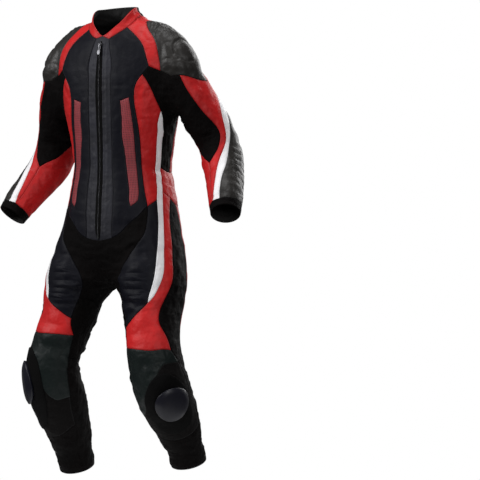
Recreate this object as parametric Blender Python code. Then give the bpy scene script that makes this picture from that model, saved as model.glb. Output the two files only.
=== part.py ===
"""Motorcycle race suit, filled out as if worn, as one solid for each sewn piece.

Metres, +Z up, the chest faces -Y and +X is the wearer's left. The origin is midway between the shoulders,
where the wearer carries the suit. The skin of the suit is drawn flat as a body chart and a sleeve chart.
Seam lines cut each chart into panels, the charts are bent into shape, and each panel gets its own wall.
"""

import math

import bmesh
import bpy
from mathutils import Matrix, Vector
from mathutils.geometry import delaunay_2d_cdt

# Driving dimensions
WALL = 0.0025  # leather with its lining
SEAM_GAP = 0.0003
COLLAR_TOP = -0.045  # distances down the body chart: the neck seam is 0
HIP = 0.55
CROTCH = 0.80
HEM = 1.40
SQUARENESS = 2.3  # 2 is an ellipse, and more is squarer
CUFF = 0.50
CAP = 0.14  # length of the sleeve over which it turns from the armhole into the arm
CUFF_BAND = 0.022
SPACING = 0.038  # between the points of the skin
BODY_SCALE = 0.0028  # metres of chart to a degree
SLEEVE_SCALE = 0.0012
BODY_COLUMNS = 12
SLEEVE_COLUMNS = 12
BODY_KEY_ROWS = (COLLAR_TOP, 0.0, 0.447, 0.562, 0.672, 0.745, 0.772, 0.79, CROTCH, 1.05, HEM)
ARMHOLE_TURNS = [-162.0 + 18 * i for i in range(20)]
ZIP = {"half_turn": 2.0, "thick": 0.0018}
SLIDER = {"down": 0.030, "clear": 0.0003, "axle_down": 0.0005, "axle_out": 0.0059}
HUMP = {"edge": 0.004, "rise": 0.034, "middle": 0.12, "reach": 0.15}
KNEE = {"centre": (70, 1.137), "reach": (16.5, 0.044), "base": 0.003, "middle": 0.022, "rim": 0.009}
CUP = {"centre": (12, 0.045), "rise": 0.014, "reach": 0.105}

# The torso's rings: heights and depths at the side seam, the front and the back
TORSO_ROWS_TABLE = (
    ("down", "side_z", "front_z", "back_z", "half_width", "front_y", "side_y", "back_y"),
    (-0.045, 0.062, -0.012, 0.072, 0.070, -0.112, -0.040, 0.018),
    (0.00, 0.030, -0.036, 0.030, 0.080, -0.120, -0.036, 0.036),
    (0.05, 0.017, -0.080, -0.002, 0.132, -0.131, -0.028, 0.084),
    (0.10, 0.002, -0.125, -0.048, 0.177, -0.136, -0.022, 0.110),
    (0.15, -0.027, -0.168, -0.100, 0.208, -0.138, -0.016, 0.122),
    (0.20, -0.092, -0.211, -0.160, 0.212, -0.138, -0.010, 0.129),
    (0.25, -0.182, -0.256, -0.224, 0.200, -0.137, -0.004, 0.130),
    (0.30, -0.282, -0.302, -0.292, 0.183, -0.135, 0.000, 0.128),
    (0.34, -0.340, -0.340, -0.340, 0.168, -0.133, 0.003, 0.126),
    (0.39, -0.390, -0.390, -0.390, 0.159, -0.131, 0.005, 0.125),
    (0.44, -0.440, -0.440, -0.440, 0.156, -0.130, 0.006, 0.123),
    (0.54, -0.540, -0.540, -0.540, 0.175, -0.138, 0.003, 0.130),
    (0.64, -0.640, -0.640, -0.640, 0.195, -0.148, -0.008, 0.134),
    (0.74, -0.740, -0.740, -0.740, 0.221, -0.158, -0.028, 0.122),
    (0.80, -0.800, -0.800, -0.800, 0.240, -0.150, -0.045, 0.080),
)

# The leg's rings: the centre of each, and its half sizes across and fore and aft
LEG_ROWS_TABLE = (
    ("down", "x", "y", "z", "half_width", "half_depth"),
    (0.60, 0.098, -0.010, -0.600, 0.098, 0.135),
    (0.70, 0.110, -0.024, -0.700, 0.110, 0.130),
    (0.80, 0.121, -0.044, -0.800, 0.121, 0.112),
    (0.85, 0.141, -0.057, -0.850, 0.100, 0.102),
    (0.90, 0.151, -0.072, -0.900, 0.087, 0.093),
    (0.97, 0.169, -0.096, -0.970, 0.081, 0.086),
    (1.05, 0.185, -0.106, -1.050, 0.085, 0.090),
    (1.12, 0.190, -0.084, -1.118, 0.087, 0.092),
    (1.17, 0.194, -0.058, -1.165, 0.084, 0.090),
    (1.23, 0.200, -0.017, -1.215, 0.077, 0.083),
    (1.28, 0.203, 0.010, -1.262, 0.069, 0.075),
    (1.34, 0.206, 0.037, -1.316, 0.060, 0.066),
    (1.40, 0.207, 0.055, -1.370, 0.054, 0.060),
)

# The arm's rings below the cap of the sleeve
SLEEVE_ROWS_TABLE = (
    ("down", "x", "y", "z", "half_width", "half_depth"),
    (0.14, 0.252, 0.034, -0.258, 0.072, 0.076),
    (0.20, 0.280, 0.070, -0.318, 0.071, 0.074),
    (0.26, 0.303, 0.077, -0.382, 0.068, 0.071),
    (0.32, 0.328, 0.058, -0.436, 0.062, 0.065),
    (0.38, 0.352, 0.024, -0.485, 0.056, 0.058),
    (0.44, 0.374, -0.012, -0.533, 0.052, 0.053),
    (0.50, 0.392, -0.044, -0.580, 0.046, 0.047),
)

# The armhole, on the body chart
ARMHOLE = {"round": 92.0, "down": 0.226, "reach_round": 34.0, "reach_down": 0.080}
CAP_TOP_WAY = Vector((0.93, -0.20, -0.30))
CAP_BOTTOM_WAY = Vector((0.45, 0.10, -0.88))
CAP_REACH = 0.95

# How the two legs differ: the left is bent a little more, and the seams sit higher on the right
LEG_SIDES_TABLE = (
    ("down", "left_lift", "right_slide"),
    (0.80, 0.000, 0.000),
    (0.97, 0.000, 0.028),
    (1.10, 0.004, 0.050),
    (1.25, 0.012, 0.028),
    (1.40, 0.018, 0.000),
)

# Seams of the body chart: degrees round from the centre front, and metres down
BODY_SEAMS = (
    # neck and collar
    ((0, 0.0), (60, 0.0), (120, 0.0), (180, 0.0)),
    ((0, 0.0), (9, -0.020), (26, -0.045)),
    ((96, 0.0), (98, -0.045)),
    # lower edge of the front, placket and zip
    ((52, 0.556), (40, 0.592), (25, 0.632), (11, 0.660), (0, 0.672)),
    ((10.5, 0.0), (9.5, 0.10), (8.5, 0.22), (10.5, 0.37), (11, 0.46), (11, 0.60), (11, 0.66)),
    ((2, 0.0), (2, 0.33), (2, 0.670)),
    # strip over the front of the shoulder, and the black stretch beside it
    ((57, 0.0), (50, 0.09), (46, 0.162)),
    ((46, 0.162), (53, 0.180), (59.7, 0.201)),
    ((46, 0.162), (40, 0.177)),
    # side of the front
    ((40, 0.177), (31, 0.187), (28, 0.205), (30, 0.25), (38, 0.303), (45, 0.37), (48, 0.417), (49.5, 0.48),
     (49.5, 0.53), (52, 0.556)),
    ((40, 0.177), (45, 0.20), (52, 0.24), (64.5, 0.273)),
    ((64.5, 0.273), (67, 0.32), (71, 0.38), (72.5, 0.43), (70, 0.50), (67.5, 0.55), (67, 0.633),
     (66, 0.723), (63, 0.785), (57, 0.872)),
    ((72, 0.291), (75.5, 0.33), (78, 0.381), (79, 0.43), (76.5, 0.50), (73.5, 0.55), (73, 0.633),
     (72.5, 0.723), (69, 0.785), (57, 0.872)),
    ((52, 0.556), (60, 0.543), (68.7, 0.527)),
    # waist
    ((79, 0.45), (101, 0.452), (122, 0.447), (180, 0.447)),
    ((75.5, 0.522), (98, 0.545), (122, 0.562), (180, 0.562)),
    # back and shoulder
    ((136, 0.0), (137, 0.05), (137.5, 0.12), (137, 0.20), (133, 0.27), (126, 0.33), (122, 0.38), (122, 0.447)),
    ((114, 0.2870), (107.5, 0.33), (102.5, 0.38), (101, 0.452)),
    ((84, 0.0), (84, 0.03)),
    ((84, 0.03), (72, 0.052), (64, 0.095), (59.5, 0.15), (59.7, 0.201)),
    ((84, 0.03), (98, 0.045), (107, 0.10), (112, 0.161)),
    ((180, 0.010), (165, 0.014), (156, 0.05), (153, 0.10), (156, 0.15), (164, 0.20), (180, 0.248)),
    # thigh
    ((52, 0.556), (52.5, 0.64), (44, 0.683), (35, 0.717), (29, 0.77), (25, 0.85), (24, 0.935), (14, 0.985)),
    ((57, 0.872), (50, 0.90), (38, 0.925), (24, 0.935)),
    ((85, 0.53), (84, 0.60), (82, 0.69), (78, 0.77), (70, 0.87), (65, 0.945)),
    ((65, 0.945), (71, 0.962), (78, 0.975), (80, 1.006)),
    ((14, 0.985), (30, 0.995), (55, 1.003), (80, 1.006)),
    ((106, 0.5505), (107, 0.62), (107.5, 0.70), (107.5, 0.80), (107, 0.88), (106.5, 0.965)),
    ((122, 0.562), (118, 0.61), (115.5, 0.69), (114, 0.78), (113, 0.87), (112.5, 0.965)),
    ((106.5, 0.965), (112.5, 0.965)),
    ((114, 0.75), (120, 0.80), (135, 0.835), (152, 0.83), (166, 0.79), (180, 0.745)),
    # knee and shin
    ((14, 0.985), (13.5, 1.05), (15, 1.14), (18, 1.23)),
    ((0, 1.05), (14, 1.05)),
    ((18, 1.23), (21, 1.31), (21, 1.40)),
    ((80, 1.006), (91, 1.05), (96, 1.14), (94, 1.22), (90, 1.262)),
    ((18, 1.23), (50, 1.27), (90, 1.262)),
    ((90, 1.262), (84, 1.33), (82, 1.40)),
    ((106.5, 0.965), (112, 1.05), (120, 1.15), (124, 1.28), (124, 1.40)),
)

# Long red insets in the chest and the back: one side of each, and the other
BODY_INSETS = (
    (((18, 0.235), (22, 0.31), (29, 0.40), (33, 0.47), (33, 0.555)),
     ((26, 0.225), (34, 0.30), (41, 0.385), (44, 0.46), (44, 0.53))),
    (((141, 0.205), (145, 0.29), (153, 0.395)),
     ((150, 0.205), (156, 0.28), (161, 0.375))),
)

# Knee base and slider: middle, half sizes and count of points
BODY_RINGS = (
    ((66, 1.150), (25, 0.092), 20),
    (KNEE["centre"], KNEE["reach"], 16),
    (KNEE["centre"], [r * 0.72 for r in KNEE["reach"]], 12),
)

BODY_SEEDS = (
    ((3, -0.038), ()),
    ((60, -0.022), ("collar_front",)),
    ((140, -0.022), ("collar_back",)),
    ((92, 0.226), ()),
    ((6, 0.30), ("placket",)),
    ((1, 0.30), ("placket", "zip")),
    ((25, 0.12), ("chest",)),
    ((30, 0.38), ("chest_inset",)),
    ((64, 0.03), ("yoke",)),
    ((80, 0.08), ("shoulder",)),
    ((53, 0.21), ("sleeve_black",)),
    ((50, 0.25), ("side_red",)),
    ((70, 0.60), ("side_white",)),
    ((88, 0.40), ("side_black",)),
    ((112, 0.35), ("back_red",)),
    ((170, 0.35), ("back",)),
    ((172, 0.10), ("back", "hump")),
    ((150, 0.30), ("back_inset",)),
    ((140, 0.50), ("lumbar",)),
    ((150, 0.70), ("seat",)),
    ((20, 0.75), ("crotch",)),
    ((55, 0.65), ("thigh_front",)),
    ((78, 0.65), ("thigh_red",)),
    ((92, 0.70), ("leg_outer",)),
    ((112, 0.62), ("thigh_stripe",)),
    ((150, 1.00), ("leg_back",)),
    ((7, 1.20), ("leg_back",)),
    ((30, 1.04), ("knee",)),
    ((44, 1.15), ("knee", "knee_base")),
    ((84.6, 1.137), ("knee", "knee_base", "knee_slider")),
    ((70, 1.137), ("knee", "knee_base", "knee_slider")),
    ((50, 1.33), ("shin",)),
)

# Seams of the sleeve chart: degrees round from the outside towards the front, and metres down
SLEEVE_SEAMS = (
    ((72, 0.0), (57, 0.054), (45, 0.068), (20, 0.088), (0, 0.096), (-25, 0.093), (-45, 0.065), (-36, 0.0)),
    ((57, 0.054), (51, 0.096), (43, 0.144), (38, 0.19), (42, 0.228), (56, 0.265), (80, 0.305), (112, 0.338)),
    ((112, 0.338), (125, 0.297), (141, 0.252), (160, 0.222), (180, 0.19)),
    ((-180, 0.19), (-160, 0.11), (-137, 0.045), (-108, 0.0)),
    ((118, 0.478), (114, 0.45), (104, 0.408), (87, 0.36), (66, 0.312), (48, 0.278), (30, 0.24), (12, 0.190),
     (-12, 0.150), (-45, 0.128), (-78, 0.138), (-105, 0.175), (-125, 0.262)),
    ((92, 0.478), (89, 0.45), (80, 0.41), (63, 0.36), (45, 0.308), (30, 0.262), (10, 0.215), (-15, 0.182),
     (-45, 0.168), (-75, 0.180), (-102, 0.215), (-125, 0.262)),
    ((-125, 0.262), (-128, 0.35), (-125, 0.478)),
    ((112, 0.338), (120, 0.40), (128, 0.478)),
    ((-180, 0.19), (-155, 0.225), (-125, 0.262)),
)

SLEEVE_SEEDS = (
    ((15, 0.03), ("shoulder",)),
    ((110, 0.10), ("sleeve_black",)),
    ((-165, 0.04), ("sleeve_black",)),
    ((0, 0.12), ("sleeve_red",)),
    ((150, 0.40), ("forearm_red",)),
    ((-150, 0.40), ("forearm_red",)),
    ((-20, 0.35), ("elbow",)),
    ((68, 0.345), ("sleeve_white",)),
    ((0, 0.49), ("cuff",)),
)

# Pieces that run across the middle of the suit; the others are made once for each side
SHARED = ("collar_back", "placket", "zip", "back", "hump", "lumbar", "seat", "crotch")

# Ribs across stretch and padded leather
BODY_FINE = ({"u": (35, 58), "v": (0.735, 0.86), "pitch": 0.025, "columns": 3, "height": 0.0022},)
SLEEVE_FINE = ({"u": (-110, 34), "v": (0.285, 0.439), "pitch": 0.022, "columns": 6, "height": 0.0022},)

# Soft troughs where the cloth bends or hangs slack
FOLDS = (
    {"chart": "body", "line": ((132, 1.060), (180, 1.075)), "width": 0.022, "depth": 0.007},
    {"chart": "body", "line": ((128, 1.115), (175, 1.125)), "width": 0.020, "depth": 0.005},
    {"chart": "body", "line": ((20, 1.035), (62, 1.045)), "width": 0.018, "depth": 0.003},
    {"chart": "body", "line": ((62, 0.440), (118, 0.452)), "width": 0.022, "depth": 0.003},
    {"chart": "body", "line": ((12, 0.735), (52, 0.700)), "width": 0.022, "depth": 0.005},
    {"chart": "body", "line": ((8, 0.860), (34, 0.830)), "width": 0.022, "depth": 0.004},
    {"chart": "body", "line": ((122, 0.870), (172, 0.868)), "width": 0.022, "depth": 0.006},
    {"chart": "body", "line": ((8, 1.335), (60, 1.345)), "width": 0.020, "depth": 0.004},
    {"chart": "body", "line": ((110, 1.320), (170, 1.345)), "width": 0.020, "depth": 0.004},
    {"chart": "sleeve", "line": ((80, 0.215), (176, 0.205)), "width": 0.020, "depth": 0.006},
    {"chart": "sleeve", "line": ((95, 0.262), (172, 0.252)), "width": 0.020, "depth": 0.005},
    {"chart": "sleeve", "line": ((92, 0.050), (172, 0.060)), "width": 0.022, "depth": 0.004},
)

# Colour, roughness and metallic of each finish
FINISHES = {
    "red leather": ((0.58, 0.018, 0.018), 0.42, 0.0),
    "dark leather": ((0.030, 0.031, 0.036), 0.45, 0.0),
    "grey leather": ((0.055, 0.056, 0.058), 0.50, 0.0),
    "white leather": ((0.80, 0.80, 0.80), 0.42, 0.0),
    "black stretch": ((0.012, 0.011, 0.012), 0.85, 0.0),
    "red mesh": ((0.36, 0.045, 0.050), 0.70, 0.0),
    "hook tape": ((0.016, 0.016, 0.018), 0.95, 0.0),
    "plastic": ((0.020, 0.023, 0.032), 0.35, 0.0),
    "metal": ((0.10, 0.10, 0.11), 0.35, 1.0),
}
NODE_FINISHES = {
    "red leather": ("collar_front", "yoke", "side_red", "back_red", "lumbar", "thigh_red", "thigh_stripe",
                    "sleeve_red", "forearm_red"),
    "dark leather": ("placket", "chest", "back", "thigh_front", "knee", "hump"),
    "grey leather": ("seat", "shoulder", "elbow"),
    "white leather": ("side_white", "sleeve_white"),
    "black stretch": ("collar_back", "side_black", "crotch", "leg_outer", "leg_back", "shin", "sleeve_black",
                      "cuff"),
    "red mesh": ("chest_inset", "back_inset"),
    "hook tape": ("knee_base", "zip"),
    "plastic": ("knee_slider",),
    "metal": ("zip_slider", "zip_pull"),
}


class Table:
    """Sizes in named columns, read with a smooth curve through the rows."""

    def __init__(self, rows):
        self.names = rows[0]
        self.rows = rows[1:]

    def slope(self, index, column):
        low, high = max(index - 1, 0), min(index + 1, len(self.rows) - 1)
        rise = self.rows[high][column] - self.rows[low][column]
        return rise / (self.rows[high][0] - self.rows[low][0])

    def at(self, down):
        down = min(max(down, self.rows[0][0]), self.rows[-1][0])
        index = next(i for i in range(len(self.rows) - 1) if down <= self.rows[i + 1][0])
        first, last = self.rows[index], self.rows[index + 1]
        span = last[0] - first[0]
        t = (down - first[0]) / span
        found = {}
        for column, name in enumerate(self.names):
            found[name] = (
                (1 + 2 * t) * (1 - t) ** 2 * first[column]
                + t * (1 - t) ** 2 * span * self.slope(index, column)
                + t * t * (3 - 2 * t) * last[column]
                - t * t * (1 - t) * span * self.slope(index + 1, column)
            )
        return found


TORSO = Table(TORSO_ROWS_TABLE)
LEG = Table(LEG_ROWS_TABLE)
LEG_SIDES = Table(LEG_SIDES_TABLE)
SLEEVE = Table(SLEEVE_ROWS_TABLE)


def smooth_step(low, high, value):
    t = min(max((value - low) / (high - low), 0.0), 1.0)
    return t * t * (3 - 2 * t)


def mix(first, last, share):
    return first + (last - first) * share


def torso_point(around, down):
    """around is 0 at the centre front, 90 at the side and 180 at the centre back."""
    ring = TORSO.at(down)
    across = abs(math.sin(math.radians(around))) ** (2 / SQUARENESS)
    cosine = math.cos(math.radians(around))
    end = "front" if cosine > 0 else "back"
    fore = abs(cosine) ** (2 / SQUARENESS)
    y = mix(ring["side_y"], ring[end + "_y"], fore)
    z = mix(ring["side_z"], ring[end + "_z"], abs(cosine) ** 1.3)
    return Vector((ring["half_width"] * across, y, z))


def limb_ring(table, down, level):
    """A limb's ring: its sizes, centre, and axes across, fore and along. level is 1 where it lies flat."""
    ring = table.at(down)
    before, after = table.at(down - 0.01), table.at(down + 0.01)
    way = Vector([after[k] - before[k] for k in "xyz"]).normalized()
    way = way.lerp(Vector((0, 0, -1)), level).normalized()
    across = (Vector((1, 0, 0)) - way * way.x).normalized()
    fore = across.cross(way).normalized()
    fore = fore if fore.y < 0 else -fore
    return ring, Vector([ring[k] for k in "xyz"]), across, fore, way


def leg_point(around, down):
    """around is 0 at the inseam, 45 in front, 90 outside, 135 behind and 180 at the inseam again."""
    level = 1 - smooth_step(CROTCH, CROTCH + 0.12, down)
    ring, centre, across, fore, _ = limb_ring(LEG, down, level)
    if down <= CROTCH:
        centre.x = ring["half_width"]
    turn = math.radians(2 * around)
    return (
        centre
        - across * ring["half_width"] * math.cos(turn)
        + fore * ring["half_depth"] * math.sin(turn)
    )


def body_point(around, down, side=1):
    """Half of the body, from the collar to the hem of the leg. side is 1 for the left and -1 for the right."""
    lift = 0.0
    if down > CROTCH:
        sides = LEG_SIDES.at(down)
        lift = sides["left_lift"] * side
        if side < 0:
            down -= sides["right_slide"]
    if down >= CROTCH:
        place = leg_point(around, down)
    elif down <= HIP:
        place = torso_point(around, down)
    else:
        share = (down - HIP) / (CROTCH - HIP)
        middle = abs(math.cos(math.radians(around))) ** 6
        rounded = 1 - math.sqrt(max(1 - share**2.4, 0))
        blend = mix(smooth_step(0, 1, share), rounded, middle)
        place = torso_point(around, down).lerp(leg_point(around, down), blend)
    return Vector((place.x * side, place.y, place.z + lift))


def armhole_place(turn):
    """The armhole on the body chart. turn is 0 on top, 90 in front and 180 at the armpit."""
    angle = math.radians(turn)
    return (
        ARMHOLE["round"] - ARMHOLE["reach_round"] * math.sin(angle),
        ARMHOLE["down"] - ARMHOLE["reach_down"] * math.cos(angle),
    )


def sleeve_point(turn, down, side=1):
    """A sleeve. turn is 0 on the outside, 90 in front, 180 inside and -90 behind."""
    ring, centre, across, fore, way = limb_ring(SLEEVE, max(down, CAP), 0)
    angle = math.radians(turn)
    place = (
        centre
        + across * ring["half_width"] * math.cos(angle)
        + fore * ring["half_depth"] * math.sin(angle)
    )
    if down < CAP:
        start = torso_point(*armhole_place(turn))
        reach = (place - start).length * CAP_REACH
        low = (1 - math.cos(angle)) / 2
        leave = CAP_TOP_WAY.lerp(CAP_BOTTOM_WAY, low).normalized() * reach
        t = down / CAP
        place = (
            start * (1 + 2 * t) * (1 - t) ** 2
            + leave * t * (1 - t) ** 2
            + place * t * t * (3 - 2 * t)
            - way * reach * t * t * (1 - t)
        )
    return Vector((place.x * side, place.y, place.z))


def spread(keys, spacing):
    """Even steps between key values."""
    values = [keys[0]]
    for low, high in zip(keys, keys[1:]):
        count = max(1, round((high - low) / spacing))
        values += [low + (high - low) * (i + 1) / count for i in range(count)]
    return values


def curved(points, spacing):
    """A smooth curve through a few points, walked in even steps."""
    points = [Vector(p) for p in points]
    dense = []
    for i in range(len(points) - 1):
        before = points[max(i - 1, 0)]
        after = points[min(i + 2, len(points) - 1)]
        first, last = points[i], points[i + 1]
        for j in range(8):
            t = j / 8
            leave, arrive = (last - before) / 2, (after - first) / 2
            dense.append(
                first * (1 + 2 * t) * (1 - t) ** 2
                + leave * t * (1 - t) ** 2
                + last * t * t * (3 - 2 * t)
                - arrive * t * t * (1 - t)
            )
    dense.append(points[-1])
    lengths = [0.0]
    for first, last in zip(dense, dense[1:]):
        lengths.append(lengths[-1] + (last - first).length)
    count = max(1, round(lengths[-1] / spacing))
    walked, k = [dense[0]], 0
    for i in range(1, count):
        target = lengths[-1] * i / count
        while lengths[k + 1] < target:
            k += 1
        share = (target - lengths[k]) / (lengths[k + 1] - lengths[k])
        walked.append(dense[k].lerp(dense[k + 1], share))
    return walked + [dense[-1]]


def nearest_on(point, first, last):
    way = last - first
    share = min(max((point - first).dot(way) / way.length_squared, 0.0), 1.0)
    return first + way * share


class Chart:
    """A flat drawing of the skin, cut along seam lines into named regions."""

    def __init__(self, scale, spacing):
        self.scale = scale
        self.spacing = spacing
        self.points = []
        self.segments = []  # first point, last point, and whether it may not be split

    def flat(self, place):
        return Vector((place[0] * self.scale, place[1]))

    def add_point(self, point):
        self.points.append(point)
        return len(self.points) - 1

    def add_line(self, indices, fixed=False):
        for first, last in zip(indices, indices[1:]):
            if first != last:
                self.segments.append((first, last, fixed))

    def anchor(self, point):
        """The point that a seam's end meets, on a line that is already there."""
        vertex = min(
            (i for s in self.segments for i in s[:2]),
            key=lambda i: (self.points[i] - point).length,
        )
        reach = (self.points[vertex] - point).length
        if reach < 0.45 * self.spacing:
            return vertex
        near = min(
            self.segments,
            key=lambda s: (nearest_on(point, self.points[s[0]], self.points[s[1]]) - point).length,
        )
        foot = nearest_on(point, self.points[near[0]], self.points[near[1]])
        if (foot - point).length > 0.7 * self.spacing:
            return self.add_point(point)
        if near[2] or min((foot - self.points[i]).length for i in near[:2]) < 0.3 * self.spacing:
            return min(near[:2], key=lambda i: (self.points[i] - foot).length)
        middle = self.add_point(foot)
        self.segments.remove(near)
        self.segments += [(near[0], middle, False), (middle, near[1], False)]
        return middle

    def add_seam(self, places):
        walked = curved([self.flat(p) for p in places], self.spacing)
        first, last = self.anchor(walked[0]), self.anchor(walked[-1])
        middle = [self.add_point(p) for p in walked[1:-1]]
        self.add_line([first] + middle + [last])

    def add_ring(self, places):
        ring = [self.add_point(self.flat(p)) for p in places]
        self.add_line(ring + ring[:1])

    def add_inset(self, near, far):
        walked = [curved([self.flat(p) for p in line], self.spacing) for line in (near, far)]
        ring = [self.add_point(p) for p in walked[0] + walked[1][::-1]]
        self.add_line(ring + ring[:1])

    def add_lattice(self, places, clear):
        for place in places:
            point = self.flat(place)
            gap = min(
                (nearest_on(point, self.points[s[0]], self.points[s[1]]) - point).length
                for s in self.segments
            )
            if gap > clear * self.spacing:
                self.add_point(point)

    def cut(self, seeds):
        """Triangles with the layers that lie on each, from the seeds named for each region."""
        lines = [s[:2] for s in self.segments]
        points, edges, faces, _, sources, _ = delaunay_2d_cdt(self.points, lines, [], 0, 1e-6, True)
        walls = {frozenset(e) for e, s in zip(edges, sources) if s}
        beside = {}
        for index, face in enumerate(faces):
            for i in range(3):
                beside.setdefault(frozenset((face[i], face[i - 1])), []).append(index)
        region = [-1] * len(faces)
        layers = {}
        for start in range(len(faces)):
            if region[start] >= 0:
                continue
            region[start], waiting = start, [start]
            while waiting:
                index = waiting.pop()
                face = faces[index]
                for i in range(3):
                    edge = frozenset((face[i], face[i - 1]))
                    for other in beside[edge] if edge not in walls else ():
                        if region[other] < 0:
                            region[other] = start
                            waiting.append(other)
        for place, names in seeds:
            seed = self.flat(place)
            for index, face in enumerate(faces):
                a, b, c = (points[i] for i in face)
                turns = [(q - p).cross(seed - p) for p, q in ((a, b), (b, c), (c, a))]
                if min(turns) >= 0 or max(turns) <= 0:
                    layers[region[index]] = names
        for start in sorted(set(region) - set(layers)):
            middle = sum((points[i] for i in faces[start]), Vector((0, 0))) / 3
            print("no seed", middle.x / self.scale, middle.y, region.count(start))
        kept = []
        for face, start in zip(faces, region):
            if layers.get(start):
                a, b, c = (points[i] for i in face)
                kept.append((face if (b - a).cross(c - a) > 0 else face[::-1], layers[start]))
        return [(p.x / self.scale, p.y) for p in points], kept


def ellipse(centre, reach, count):
    steps = [2 * math.pi * (i + 0.5) / count for i in range(count)]
    return [(centre[0] + reach[0] * math.cos(s), centre[1] + reach[1] * math.sin(s)) for s in steps]


def body_chart():
    chart = Chart(BODY_SCALE, SPACING)
    rows = spread(BODY_KEY_ROWS, SPACING)
    columns = [180 * i / BODY_COLUMNS for i in range(BODY_COLUMNS + 1)]
    front = [chart.add_point(chart.flat((0, row))) for row in rows]
    back = [chart.add_point(chart.flat((180, row))) for row in rows]
    chart.add_line(front, fixed=True)
    chart.add_line(back, fixed=True)
    for ends, row in (((front[0], back[0]), rows[0]), ((front[-1], back[-1]), rows[-1])):
        between = [chart.add_point(chart.flat((c, row))) for c in columns[1:-1]]
        chart.add_line([ends[0]] + between + [ends[1]])
    hole = [chart.add_point(chart.flat(armhole_place(t))) for t in ARMHOLE_TURNS]
    chart.add_line(hole + hole[:1], fixed=True)
    for seam in BODY_SEAMS:
        chart.add_seam(seam)
    for inset in BODY_INSETS:
        chart.add_inset(*inset)
    for ring in BODY_RINGS:
        chart.add_ring(ellipse(*ring))
    for zone in BODY_FINE:
        chart.add_lattice(zone_places(zone), 0.2)
    fine = list(BODY_FINE)
    chart.add_lattice([(c, r) for r in rows for c in columns if not in_zone(c, r, fine)], 0.42)
    return chart.cut(BODY_SEEDS)


def in_zone(u, v, zones):
    return any(z["u"][0] <= u <= z["u"][1] and z["v"][0] <= v <= z["v"][1] for z in zones)


def zone_places(zone):
    """Points for ribs: rows at half the pitch."""
    rows = round((zone["v"][1] - zone["v"][0]) / zone["pitch"] * 2)
    for i in range(rows + 1):
        for j in range(zone["columns"] + 1):
            yield (mix(*zone["u"], j / zone["columns"]), zone["v"][0] + i * zone["pitch"] / 2)


def sleeve_chart():
    chart = Chart(SLEEVE_SCALE, SPACING)
    rows = spread((0.0, CAP, CUFF - CUFF_BAND, CUFF), SPACING)
    turns = [-180.0] + list(ARMHOLE_TURNS)
    top = [chart.add_point(chart.flat((t, 0.0))) for t in turns]
    ends = []
    for turn, first in ((-180.0, top[0]), (180.0, top[-1])):
        line = [first] + [chart.add_point(chart.flat((turn, r))) for r in rows[1:]]
        chart.add_line(line, fixed=True)
        ends.append(line)
    chart.add_line(top, fixed=True)
    columns = [-180 + 360 * i / SLEEVE_COLUMNS for i in range(SLEEVE_COLUMNS + 1)]
    for row in (-1, -2):
        between = [chart.add_point(chart.flat((c, rows[row]))) for c in columns[1:-1]]
        chart.add_line([ends[0][row]] + between + [ends[1][row]])
    for seam in SLEEVE_SEAMS:
        chart.add_seam(seam)
    for zone in SLEEVE_FINE:
        chart.add_lattice(zone_places(zone), 0.2)
    fine = list(SLEEVE_FINE)
    chart.add_lattice([(c, r) for r in rows for c in columns if not in_zone(c, r, fine)], 0.42)
    return chart.cut(SLEEVE_SEEDS)


class Skin:
    """The charts, bent into shape on both sides and joined where they meet."""

    def __init__(self):
        self.places = []
        self.sources = []  # chart, u, v and side of each point
        self.found = {}
        self.faces = []  # point indices and layers

    def point(self, place, source):
        key = tuple(round(c, 5) for c in place)
        if key not in self.found:
            self.found[key] = len(self.places)
            self.places.append(place)
            self.sources.append(source)
        return self.found[key]

    def add_chart(self, kind, drawn, bend, turn_over):
        points, faces = drawn
        for side in (1, -1):
            index = [self.point(bend(u, v, side), (kind, u, v, side)) for u, v in points]
            for face, layers in faces:
                corners = [index[i] for i in face]
                if (side > 0) == turn_over:
                    corners.reverse()
                word = "left" if side > 0 else "right"
                self.faces.append((corners, [n if n in SHARED else f"{n}_{word}" for n in layers]))

    def normals(self):
        found = [Vector() for _ in self.places]
        for corners, _ in self.faces:
            a, b, c = (self.places[i] for i in corners)
            turn = (b - a).cross(c - a)
            for i in corners:
                found[i] += turn
        return [n.normalized() for n in found]

    def fold(self):
        """Presses the soft troughs of a worn suit into the skin."""
        ways = self.normals()
        moved = []
        for place, way, (kind, u, v, side) in zip(self.places, ways, self.sources):
            scale = BODY_SCALE if kind == "body" else SLEEVE_SCALE
            depth = 0.0
            for fold in FOLDS:
                if fold["chart"] == kind:
                    first, last = (Vector((p[0] * scale, p[1])) for p in fold["line"])
                    gap = (nearest_on(Vector((u * scale, v)), first, last) - Vector((u * scale, v))).length
                    depth += fold["depth"] * math.exp(-((gap / fold["width"]) ** 2))
            moved.append(place - way * depth)
        self.places = moved


def rib_height(kind, u, v):
    for zone in BODY_FINE if kind == "body" else SLEEVE_FINE:
        if in_zone(u, v, [zone]):
            edge = min((u - zone["u"][0]), (zone["u"][1] - u)) / 6
            wave = 0.5 - 0.5 * math.cos(2 * math.pi * (v - zone["v"][0]) / zone["pitch"])
            return zone["height"] * wave * min(edge, 1)
    return 0.0


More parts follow.
